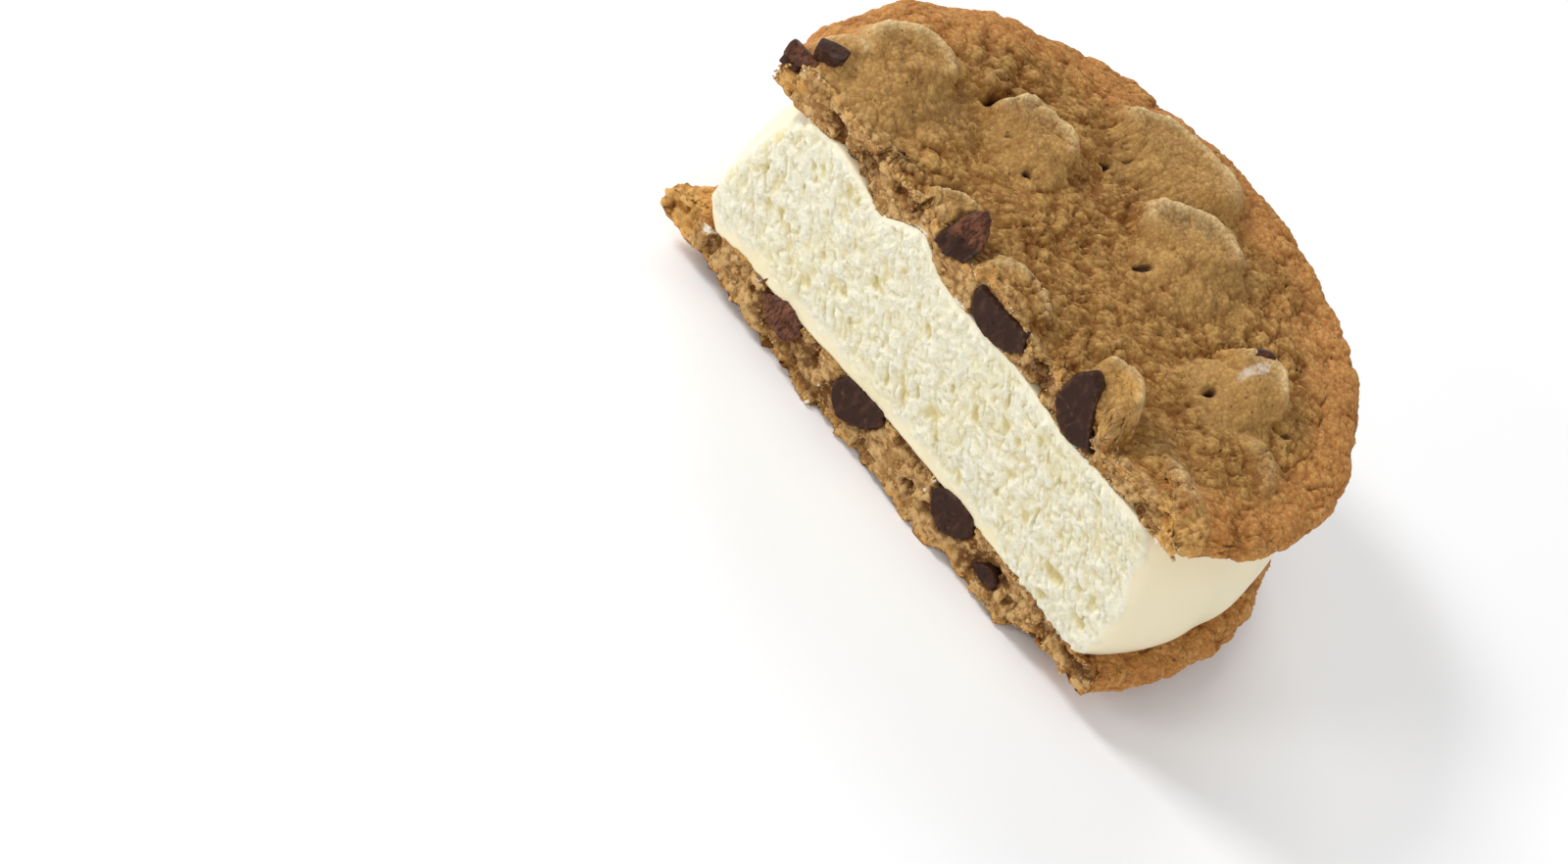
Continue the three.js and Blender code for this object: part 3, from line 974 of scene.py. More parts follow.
    def dress(self) -> Shell:
        """Adds the relief of the skin where it is whole, and of the crumb on the cut and the torn edges.

        Returns:
            The finished shell, with the dough's marks.
        """
        shell = self.shell()
        points = shell.points
        x, y, z = points.T
        marks = self.marked(shell)
        coarse = marks.pop("coarse")
        rim = ease(13.0, 3.5, self.inset(x, y) + 3.0 * self.grain.smooth(points, 6.0))
        cut = shell.marks["cut"]
        face = cut * ease(0.0, 0.3, self.top(x, y) - z) * ease(-0.1, 0.25, z - self.under(x, y))
        face = np.maximum(face, coarse)
        skin = 1.0 - face
        bent = points + 0.45 * self.grain.drift(points, 2.2)
        baked, crease, raised = self.baked(points, bent, rim, marks["floury"])
        crumbled, dark, tint = self.crumbled(points, bent)
        shell.push(skin * baked + face * (1.0 + 0.6 * coarse) * crumbled)
        shell.points[:, 1] = np.maximum(shell.points[:, 1], FRONT_Y)
        # Painted shade: darker in a ring round each chip and where the cut is crumbled back deepest.
        gap = sum(ease(0.75, 0.2, abs(chip.outside(x, z))) * ease(1.5, -1.5, z - chip.z)
                  for chip in self.chips)
        dark = dark + ease(0.6, 1.7, self.hollow(x, z)) * cut + 0.9 * gap
        shell.marks = dough_marks(
            len(x), rim=rim, crumb=face, tint=tint,
            crease=np.clip(skin * crease, 0.0, 1.0),
            raised=np.clip(raised, 0.0, 1.0) * skin + 0.5 * face,
            dark=np.clip(face * dark, 0.0, 1.0),
            skin=cut * face * ease(self.skin_depth, 0.2, self.from_skin(x, z)),
            **marks)
        return shell

    def from_skin(self, x: Array, z: Array) -> Array:
        """Distance up or down the cut from the baked side."""
        raise NotImplementedError


@dataclass
class UpperCookie(Cookie):
    """The top cookie: tilted, puffed over its chips, with a broken near corner.

    Its bed swells along the cut by (height, place along X, width) in turn. The places of its corners and
    of the dome's skin are in x and y, but for the far end's, in x and z.
    """

    crown_z: float = 33.2
    bed_z: float = 28.1
    fall: float = 0.070
    rim_fall: float = 0.030
    bed_fall: float = 0.030
    swells: tuple[tuple[float, float, float], ...] = (
        (1.1, -26.0, 5.0), (-0.5, -17.0, 2.4), (2.6, -11.0, 3.6), (0.5, 8.0, 3.0), (-0.6, 18.0, 3.0))
    puffs: tuple[Puff, ...] = ()
    pits: tuple[Pit, ...] = ()
    # Spots of painted shade in the valleys between the puffs and beside them, partly the dough's own darker
    # tone there.
    shade_spots: tuple[Spot, ...] = ()
    bloom: Spot = Spot(23.2, 9.2, 0.9, 3.0, 1.0)
    near_corner: tuple[float, float] = (36.0, -16.0)
    far_end: tuple[float, float] = (-37.0, 30.8)
    # Golden patch on the near dome's dough: partly its own golden tone, partly painted light.
    golden_lit_dome: Spot = Spot(18.6, -12.4, 3.2, 3.4, 0.7)

    def bed(self, x: Array, y: Array) -> Array:
        """Height where it meets the filling: a tilted plane with swells that the cut shows."""
        swell = sum(height * bell(x, place, width) for height, place, width in self.swells)
        return self.bed_z - self.bed_fall * x + swell * bell(y, CUT_Y, 16.0)

    def warped(self, x: Array, y: Array) -> tuple[Array, Array]:
        """Places shifted by up to about a millimetre, so that no outline runs true."""
        shifts = [0.60 * self.grain.smooth(spot, 4.4) + 0.22 * self.grain.smooth(spot, 1.7)
                  for spot in (level(x, y) + 100.0, level(x, y) + 140.0)]
        return x + shifts[0], y + shifts[1]

    def puffed(self, x: Array, y: Array) -> tuple[Array, Array, Array, Array]:
        """Largest puff at each place, joined softly by a sum of eighth powers, and the puffs' three marks.

        Args:
            x: places along the cut.
            y: places across it.

        Returns:
            Height, and the marks of the lip (paler dough with a painted highlight), the floury skin and the
            grey hollow.
        """
        total = np.zeros_like(x)
        found = [np.zeros_like(x) for _ in range(3)]
        warp_x, warp_y = self.warped(x, y)
        for puff in self.puffs:
            height, *here = puff.at(warp_x, warp_y)
            total += height**8
            strength = min(1.0, puff.height / 2.2)
            found = [np.maximum(mark, strength * value) for mark, value in zip(found, here)]
        return total ** (1.0 / 8.0), *found

    def top(self, x: Array, y: Array) -> Array:
        """Height of the baked face: a tilted crown with puffs and lumps, rounded down at the rim.

        Args:
            x: places along the cut.
            y: places across it.

        Returns:
            The heights.
        """
        spot = level(x, y)
        crown = self.crown_z - self.fall * x - 0.0012 * (y - 4.0) ** 2 + 0.5 * bell(x, -33.0, 9.0)
        lumps = 0.45 * self.grain.smooth(spot, 7.0) + 0.22 * self.grain.smooth(spot + 20.0, 3.6)
        warp_x, warp_y = self.warped(x, y)
        pits = sum(pit.depth * pit.at(warp_x, warp_y) for pit in self.pits)
        rim = self.rim_z + self.rim_band / 2 - self.rim_fall * x
        body = crown + self.puffed(x, y)[0] + lumps - 0.3 - pits
        return rim + (body - rim) * quarter_round(self.inset(x, y), self.rim_width)

    def under(self, x: Array, y: Array) -> Array:
        """Height of the lower face: on the filling's bed, rounded up at the rim."""
        rim = self.rim_z - self.rim_band / 2 - self.rim_fall * x
        return rim + (self.bed(x, y) + 0.05 - rim) * quarter_round(self.inset(x, y), 4.5)

    def from_skin(self, x: Array, z: Array) -> Array:
        """Distance down the cut from the baked top."""
        return self.top(x, np.full_like(x, CUT_Y)) - z

    def marked(self, shell: Shell) -> dict[str, Array]:
        """Marks of the puffs, the painted shade spots, pits, the white bloom on the near dome and the torn
        golden edges.

        Args:
            shell: the shell, with its relief on it.

        Returns:
            The marks by name.
        """
        x, y, z = shell.points.T
        grain, points = self.grain, shell.points
        on_top = 1.0 - shell.marks["low"]
        sheet = on_top * (1.0 - shell.marks["wall"])
        warp_x, warp_y = self.warped(x, y)
        # The pit mark colours the holes near-black inside: painted shade.
        pit = sum(pit.at(warp_x, warp_y) * min(1.0, pit.depth) for pit in self.pits) * sheet
        painted_shade = sum(spot.at(warp_x, warp_y) for spot in self.shade_spots)
        across, along = (x - self.bloom.u) / self.bloom.wide, (y - self.bloom.v) / self.bloom.high
        from_bloom = np.hypot(across - 0.25 * along, along) + 0.5 * grain.layered(points, 1.6, 3)
        corner = np.hypot(x - self.near_corner[0], y - self.near_corner[1])
        corner += 1.8 * grain.smooth(points, 2.4)
        far = np.hypot(x - self.far_end[0], 1.3 * (z - self.far_end[1]))
        far += 1.2 * grain.smooth(points, 2.0)
        ragged = 1.5 * grain.smooth(points + 55.0, 2.4) + 1.2 * grain.smooth(points + 95.0, 7.0)
        strip = ease(2.3, 0.9, y - CUT_Y + ragged) * sheet
        frozen = shell.marks["cut"] * ease(0.8, 0.1, z - self.bed(x, y))
        golden = ease(5.2, 2.4, corner) + 0.30 * strip + ease(4.5, 2.0, far) * ease(-8.0, -13.0, y)
        _, crest_flour_and_highlight, floury, grey = self.puffed(x, y)
        return {
            "crest_flour_and_highlight": crest_flour_and_highlight * on_top,
            "floury": floury * on_top,
            "grey": grey * on_top,
            "shade": np.clip(painted_shade, 0.0, 1.0) * on_top,
            "pit": np.clip(pit, 0.0, 1.0),
            "bloom": ease(1.25, 0.55, from_bloom) * on_top,
            "frost": frozen * ease(0.25, 0.6, grain.smooth(points + 11.0, 3.0)),
            "golden": np.clip(golden + self.golden_lit_dome.at(x, y) * on_top, 0.0, 1.0),
            "coarse": np.maximum(ease(4.8, 3.6, corner) * on_top, strip),
        }


@dataclass
class LowerCookie(Cookie):
    """The bottom cookie: its baked face is turned down and flattened where it rests."""

    bed_z: float = 7.55
    dome: float = 2.3
    dome_reach: float = 18.0
    raised_corner: tuple[float, float] = (-39.0, -15.5)
    golden_corner: tuple[float, float] = (-39.5, -15.0)

    def bed(self, x: Array, y: Array) -> Array:
        """Height where it meets the filling, faintly waved along the cut and lower at its ends."""
        wave = 0.3 * np.cos(x / 7.5) - 1.0 * ease(26.0, 33.0, abs(x + 1.5)) + 0.35
        return self.bed_z + wave * bell(y, CUT_Y, 16.0)

    def top(self, x: Array, y: Array) -> Array:
        """Height of the face under the filling, rounded down at the rim.

        Args:
            x: places along the cut.
            y: places across it.

        Returns:
            The heights.
        """
        rim = self.rim_z + self.rim_band / 2
        from_corner = np.hypot(x - self.raised_corner[0], y - self.raised_corner[1])
        rim = rim + ease(7.0, 3.0, from_corner) * (0.9 + 0.9 * self.grain.smooth(level(x, y) + 60.0, 2.4))
        return rim + (self.bed(x, y) - 0.05 - rim) * quarter_round(self.inset(x, y), 4.5)

    def under(self, x: Array, y: Array) -> Array:
        """Height of the outer face: 0 where it rests, rising and rounding into the rim.

        Args:
            x: places along the cut.
            y: places across it.

        Returns:
            The heights.
        """
        inset = self.inset(x, y)
        rim = self.rim_z - self.rim_band / 2
        spot = level(x, y)
        lumps = np.maximum(0.0, 0.6 * self.grain.smooth(spot, 5.0) - 0.05) * ease(16.0, 6.0, inset)
        ragged = 0.5 + 0.9 * self.grain.smooth(spot + 33.0, 3.2) + 0.4 * self.grain.smooth(spot + 53.0, 1.4)
        ends = 1.9 * ease(25.2, 27.6, x) + 1.3 * ease(-20.0, -34.0, x)
        nibbled = (np.maximum(0.0, ragged) + ends) * bell(y, CUT_Y, 2.6)
        low = self.dome * np.maximum(0.0, 1.0 - inset / self.dome_reach) ** 1.5 + lumps
        low = rim + (low - rim) * quarter_round(inset, self.rim_width)
        return np.clip(low + nibbled * ease(0.0, 6.0, inset), 0.06, self.bed_z - 2.2)

    def from_skin(self, x: Array, z: Array) -> Array:
        """Distance up the cut from the baked underside."""
        return z - self.under(x, np.full_like(x, CUT_Y))

    def marked(self, shell: Shell) -> dict[str, Array]:
        """Marks: frost along the filling and the golden far corner.

        Args:
            shell: the shell, with its relief on it.

        Returns:
            The marks by name.
        """
        x, y, z = shell.points.T
        frost = shell.marks["cut"] * ease(1.9, 0.2, self.bed(x, y) - z) * ease(-9.0, -12.0, y)
        frost *= ease(0.12, 0.45, self.grain.layered(shell.points + 5.0, 3.2, 2))
        corner = np.hypot(x - self.golden_corner[0], y - self.golden_corner[1])
        corner += self.grain.smooth(shell.points, 2.0)
        return {"floury": np.zeros(len(x)), "frost": frost, "golden": ease(5.5, 3.0, corner),
                "coarse": ease(4.5, 2.5, corner)}

    def dress(self) -> Shell:
        """Adds the relief, then presses anything below the resting plane back onto it."""
        shell = super().dress()
        shell.points[:, 2] = np.maximum(shell.points[:, 2], 0.0)
        return shell


# ---------------------------------------------------------------- filling


@dataclass
class Filling(CutRound):
    """The slab of ice cream: smooth round its side, torn and airy where cut."""

    bottom_radius: float = 39.2
    belt_radius: float = 40.3
    top_radius: float = 35.7
    belt_at: float = 0.24
    far_tuck: float = 1.1
    set_back: float = 0.45
    fillet: int = 5
    lower: LowerCookie | None = None
    upper: UpperCookie | None = None
    hollows: tuple[Spot, ...] = ()
    stroke_way: tuple[float, float] = (0.585, -0.811)
    stroke_stretch: float = 2.2
    clot_size: float = 1.05
    foam_size: float = 0.75
    flake_size: float = 0.56
    pit_spacing: float = 1.5

    def top(self, x: Array, y: Array) -> Array:
        """Height of its upper face, on the upper cookie's bed."""
        return self.upper.bed(x, y)

    def under(self, x: Array, y: Array) -> Array:
        """Height of its lower face, on the lower cookie's bed."""
        return self.lower.bed(x, y)

    def edge(self, share: float, rim: tuple[Array, ...]) -> tuple[Array, Array]:
        """Wall place: bulging most at the belt, drawn in to the top by the square of the height.

        Args:
            share: way down the wall, 0 at its top and 1 at its foot.
            rim: x, y, angle and on_cut of the outline.

        Returns:
            Both coordinates of the wall at that height.
        """
        x, y, _, on_cut = rim
        height = 1.0 - share
        tuck = self.far_tuck * np.clip(-x / 30.0, 0.0, 1.0)
        if height > self.belt_at:
            rise = (height - self.belt_at) / (1.0 - self.belt_at)
            r = self.belt_radius - (self.belt_radius - self.top_radius) * rise**2 + 0.0 * x
        else:
            fall = (self.belt_at - height) / self.belt_at
            r = self.belt_radius - (self.belt_radius - self.bottom_radius + tuck) * fall**3
        back = CUT_Y - self.centre_y
        squeeze = np.sqrt(r**2 - back**2) / math.sqrt(self.belt_radius**2 - back**2)
        share_out = r / self.belt_radius
        wall_x = np.where(on_cut > 0.5, x * squeeze, self.centre_x + (x - self.centre_x) * share_out)
        wall_y = np.where(on_cut > 0.5, CUT_Y, self.centre_y + (y - self.centre_y) * share_out)
        return self.softened(wall_x), self.softened(np.maximum(wall_y, CUT_Y + self.set_back))

    def softened(self, values: Array) -> Array:
        """Running mean round the closed outline, which rounds its two upright corners.

        Args:
            values: one coordinate of the outline.

        Returns:
            The mean values.
        """
        kernel = np.hanning(2 * self.fillet + 3)[1:-1]
        wrapped = np.concatenate([values[-self.fillet:], values, values[: self.fillet]])
        return np.convolve(wrapped, kernel / kernel.sum(), mode="valid")

    def dress(self) -> Shell:
        """Adds the torn clots, foam, flakes and pits of the cut, fading out round the smooth side.

        They are all drawn out along the knife's way, which leans across the cut.

        Returns:
            The finished shell, with marks torn, hollow (low places, pits and airy holes, which take painted
            yellow shade) and warm.
        """
        shell = self.shell()
        grain, points = self.grain, shell.points
        x, y, z = points.T
        above, below = z - self.lower.bed(x, y), self.upper.bed(x, y) - z
        half = 36.5 - 0.055 * np.maximum(above - 6.0, 0.0) ** 1.55
        ragged = 1.1 * grain.layered(points, 1.8, 3)
        torn = shell.marks["cut"] * ease(0.4, -1.4, abs(x) - half + ragged)
        torn = np.maximum(torn, ease(CUT_Y + 3.0, CUT_Y + 0.6, y + 0.8 * ragged) * ease(-28.0, -33.0, x))
        smeared = ease(1.0, 3.0, above + 0.8 * ragged + 3.0 * ease(16.0, 25.0, x))
        band = torn * (0.10 + 0.90 * smeared) * (0.25 + 0.75 * ease(0.2, 1.6, below))
        way_x, way_z = self.stroke_way
        drawn = np.stack([(way_x * x + way_z * z) / self.stroke_stretch, y, way_x * z - way_z * x], axis=-1)
        drawn += 0.35 * grain.drift(points, 1.6)
        clots = grain.folds(drawn + 30.0, self.clot_size, 2)
        foam = grain.other(3).folds(drawn * (1.6, 1.0, 1.0) + 60.0, self.foam_size, 2)
        near, second, draw = grain.other(5).cells(drawn * (1.2, 1.0, 1.0), self.flake_size)
        flakes = ease(0.03, 0.34, second - near) * draw
        near, _, draw = grain.other(2).cells(drawn, self.pit_spacing)
        pits = ease(0.42, 0.10, near) * ease(0.62, 0.78, draw)
        holes = sum(spot.at(x, z) for spot in self.hollows) * (0.6 + 0.9 * grain.smooth(drawn + 70.0, 1.3))
        holes = np.maximum(0.0, holes)
        relief = 0.24 * (flakes - 0.35) + 0.66 * (clots - 0.28) + 0.56 * (foam - 0.28)
        relief = band * (relief + 0.16 * grain.layered(drawn + 90.0, 3.6, 2) - 0.45 * pits - holes)
        # Low places of the relief: with the pits and airy holes, painted yellow as shade.
        low = ease(0.10, -0.32, relief)
        side = (1.0 - torn) * 0.05 * grain.smooth(points * (0.4, 0.4, 1.0), 2.5)
        shell.push(relief + side)
        shell.points[:, 1] = np.maximum(shell.points[:, 1], FRONT_Y)
        shell.marks = {
            "torn": band,
            "hollow": np.clip(band * (0.8 * low + 0.6 * pits + 0.8 * holes), 0.0, 1.0),
            "warm": np.clip(torn * ease(0.15, 0.65, grain.smooth(shell.points + 12.0, 4.5)), 0.0, 1.0),
        }
        return shell


# ---------------------------------------------------------------- loose crumbs


@dataclass(frozen=True)
class Crumbs:
    """Crumbs left clinging to the cut faces and edges of a cookie."""

    seed: int
    count: int = 2200
    smallest: float = 0.16
    largest: float = 0.85
    around: int = 7
    rows: int = 4
    near_edge: float = 0.32
    far_edge: float = 0.55

    def scatter(self, cookie: Cookie, draw: np.random.Generator) -> tuple[Array, Array]:
        """Places on the cut: many small crumbs, a few large, more along the cut's two edges.

        Args:
            cookie: the cookie whose cut they cling to.
            draw: where the random numbers come from.

        Returns:
            Middles and widths of the crumbs that no chip is in the way of.
        """
        count = self.count
        half = math.sqrt(cookie.radius**2 - (CUT_Y - cookie.centre_y) ** 2) - 1.5
        x = cookie.centre_x + draw.uniform(-half, half, count)
        edge = draw.uniform(0.0, 1.0, count)
        upper, lower, anywhere = [
            draw.uniform(low, high, count) for low, high in ((0.0, 0.10), (0.88, 1.0), (0.0, 1.0))]
        share = np.where(edge < self.near_edge, upper, np.where(edge < self.far_edge, lower, anywhere))
        cut = np.full(count, CUT_Y)
        z = blend(cookie.top(x, cut), cookie.under(x, cut), share)
        size = blend(self.smallest, self.largest, draw.uniform(0.0, 1.0, count) ** 2.6)
        y = CUT_Y + cookie.cut_depth(x, z) + size * draw.uniform(0.0, 0.5, count)
        free = np.ones(count, dtype=bool)
        for chip in cookie.chips:
            free &= chip.outside(x, z) > 0.3 - 0.5 * (draw.uniform(0, 1, count) > 0.9)
        return np.stack([x, y, z], axis=1)[free], size[free]

    def shell(self, cookie: Cookie) -> Shell:
        """Lumpy balls, each stretched and turned its own way.

        Args:
            cookie: the cookie whose cut they cling to.

        Returns:
            One shell of all the crumbs, with the marks of a cookie.
        """
        draw = np.random.default_rng(self.seed)
        middle, size = self.scatter(cookie, draw)
        ball, count = unit_ball(self.around, self.rows), len(size)
        each = len(ball.points)
        lumps = ball.points * draw.uniform(0.6, 1.25, (count, each, 1))
        lumps = lumps * draw.uniform(0.6, 1.0, (count, 1, 3))
        spin = np.linalg.qr(draw.normal(size=(count, 3, 3)))[0]
        spin *= np.sign(np.linalg.det(spin))[:, None, None]
        points = np.einsum("nij,nkj->nki", spin, lumps) * size[:, None, None] / 2 + middle[:, None]
        points = np.maximum(points, (-np.inf, FRONT_Y, 0.0)).reshape(-1, 3)
        starts = (np.arange(count) * each)[:, None, None]
        tint, golden, frost = [np.repeat(draw.uniform(0.0, 1.0, count), each) for _ in range(3)]
        marks = dough_marks(
            len(points), crumb=np.ones(len(points)), raised=np.full(len(points), 0.5), tint=tint,
            frost=0.7 * (frost > 0.985), golden=0.7 * (golden > 0.85))
        quads, triangles = (ball.quads + starts).reshape(-1, 4), (ball.triangles + starts).reshape(-1, 3)
        return Shell(points, quads, triangles, marks)


# ---------------------------------------------------------------- finishes


def paint(red: int, green: int, blue: int) -> Colour:
    """Screen colour, 0 to 255 a channel, as the linear colour that shaders take.

    Args:
        red: first channel.
        green: second channel.
        blue: third channel.

    Returns:
        The linear colour.
    """
    shares = np.array([red, green, blue]) / 255.0
    linear = np.where(shares <= 0.04045, shares / 12.92, ((shares + 0.055) / 1.055) ** 2.4)
    return (float(linear[0]), float(linear[1]), float(linear[2]), 1.0)


@dataclass(frozen=True)
class Wire:
    """An output socket that takes part in sums."""

    bench: "Bench"
    socket: bpy.types.NodeSocket

    def __add__(self, other: "Wire | float") -> "Wire":
        """Sum."""
        return self.bench.math("ADD", self, other)

    __radd__ = __add__

    def __sub__(self, other: "Wire | float") -> "Wire":
        """Difference."""
        return self.bench.math("SUBTRACT", self, other)

    def __rsub__(self, other: "Wire | float") -> "Wire":
        """Difference from a number."""
        return self.bench.math("SUBTRACT", other, self)

    def __mul__(self, other: "Wire | float") -> "Wire":
        """Product."""
        return self.bench.math("MULTIPLY", self, other)

    __rmul__ = __mul__

    def rising(self, low: float, high: float) -> "Wire":
        """Smooth step from 0 at low to 1 at high."""
        node = self.bench.add("ShaderNodeMapRange", {"interpolation_type": "SMOOTHSTEP"},
                              {"Value": self, "From Min": low, "From Max": high})
        return Wire(self.bench, node.outputs["Result"])


class Bench:
    """Where one material's nodes are laid out."""

    def __init__(self, name: str) -> None:
        """Starts an empty material of that name.

        Args:
            name: of the material.
        """
        self.material = bpy.data.materials.new(name)
        self.material.use_nodes = True
        self.tree = self.material.node_tree
        self.tree.nodes.clear()
        self.place = self.wire(self.add("ShaderNodeTexCoord"), "Object")

    def add(self, kind: str, settings: dict[str, object] | None = None,
            sockets: dict[str | int, object] | None = None) -> bpy.types.Node:
        """Makes a node: its settings first, then the values or links of its sockets.

        Args:
            kind: node type.
            settings: node properties by name.
            sockets: inputs by name or number, each a Wire or a plain value.

        Returns:
            The node.
        """
        node = self.tree.nodes.new(kind)
        for setting, value in (settings or {}).items():
            setattr(node, setting, value)
        for socket, value in (sockets or {}).items():
            if isinstance(value, Wire):
                self.tree.links.new(value.socket, node.inputs[socket])
            else:
                node.inputs[socket].default_value = value
        return node

    def wire(self, node: bpy.types.Node, output: str | int) -> Wire:
        """An output of a node, ready for sums."""
        return Wire(self, node.outputs[output])

    def math(self, operation: str, first: Wire | float, second: Wire | float) -> Wire:
        """A Math node on two values."""
        return self.wire(self.add("ShaderNodeMath", {"operation": operation}, {0: first, 1: second}), 0)

    def mark(self, name: str) -> Wire:
        """A mark of the mesh, one number for each vertex."""
        return self.wire(self.add("ShaderNodeAttribute", {"attribute_name": name}), "Fac")

    def noise(self, size: float, detail: float = 2.0, rough: float = 0.55,
              stretch: tuple[float, float, float] = (1.0, 1.0, 1.0)) -> Wire:
        """Noise from 0 to 1 with features of the given size in millimetres.

        Args:
            size: size of its largest features.
            detail: how many finer layers.
            rough: strength of the finer layers.
            stretch: scale along X, Y and Z; the pattern is drawn out where it is below 1.

        Returns:
            The noise.
        """
        place = self.place
        if stretch != (1.0, 1.0, 1.0):
            place = self.wire(self.add("ShaderNodeMapping", None, {"Vector": place, "Scale": stretch}), 0)
        node = self.add("ShaderNodeTexNoise", None, {
            "Vector": place, "Scale": 1.0 / (size * METRES), "Detail": detail, "Roughness": rough})
        return self.wire(node, 0)

    def voronoi(self, spacing: float) -> bpy.types.Node:
        """Cells about scattered places of the given mean spacing in millimetres."""
        sockets = {"Vector": self.place, "Scale": 1.0 / (spacing * METRES)}
        return self.add("ShaderNodeTexVoronoi", None, sockets)

    def specks(self, spacing: float, above: float, reach: float) -> Wire:
        """Scattered dots, 1 in their middles and 0 at their edges.

        Args:
            spacing: mean spacing of the places that may carry one, in millimetres.
            above: places whose random grey is above this carry one.
            reach: a dot's radius, in spacings.

        Returns:
            The dots.
        """
        node = self.voronoi(spacing)
        chosen = self.wire(node, "Color").rising(above, above + 0.04)
        return chosen * self.wire(node, "Distance").rising(reach, 0.3 * reach)

    def grains(self, spacing: float) -> tuple[Wire, Wire]:
        """Packed grains: how near each place is to its grain's middle, and a random grey for each grain."""
        node = self.voronoi(spacing)
        return 1.0 - self.wire(node, "Distance"), self.wire(node, "Color") * 1.0

    def mix(self, share: Wire | float, first: Wire | Colour, second: Wire | Colour) -> Wire:
        """Mixes two colours."""
        node = self.add("ShaderNodeMix", {"data_type": "RGBA"}, {0: share, 6: first, 7: second})
        return self.wire(node, 2)

    def layers(self, base: Wire | Colour, over: tuple[tuple[Wire, Wire | Colour], ...]) -> Wire:
        """Lays colours one over another.

        Args:
            base: the lowest colour.
            over: share and colour of each layer, the lowest first.

        Returns:
            The colour that shows.
        """
        for share, colour in over:
            base = self.mix(share, base, colour)
        return base

    def bump(self, height: Wire, depth: float, strength: float, below: Wire | None = None) -> Wire:
        """Bump of the given depth in millimetres, over another bump where one is given.

        Args:
            height: the relief.
            depth: its height in millimetres.
            strength: share of it that shows.
            below: the normal it lies over.

        Returns:
            The normal.
        """
        sockets = {"Height": height, "Distance": depth * METRES, "Strength": strength}
        if below is not None:
            sockets["Normal"] = below
        return self.wire(self.add("ShaderNodeBump", None, sockets), "Normal")

    def finish(self, sockets: dict[str | int, object]) -> bpy.types.Material:
        """Ends the material in a Principled shader with the given sockets.

        Args:
            sockets: inputs of the shader by name or number.

        Returns:
            The material.
        """
        shader = self.add("ShaderNodeBsdfPrincipled", None, sockets)
        self.add("ShaderNodeOutputMaterial", None, {"Surface": self.wire(shader, "BSDF")})
        return self.material


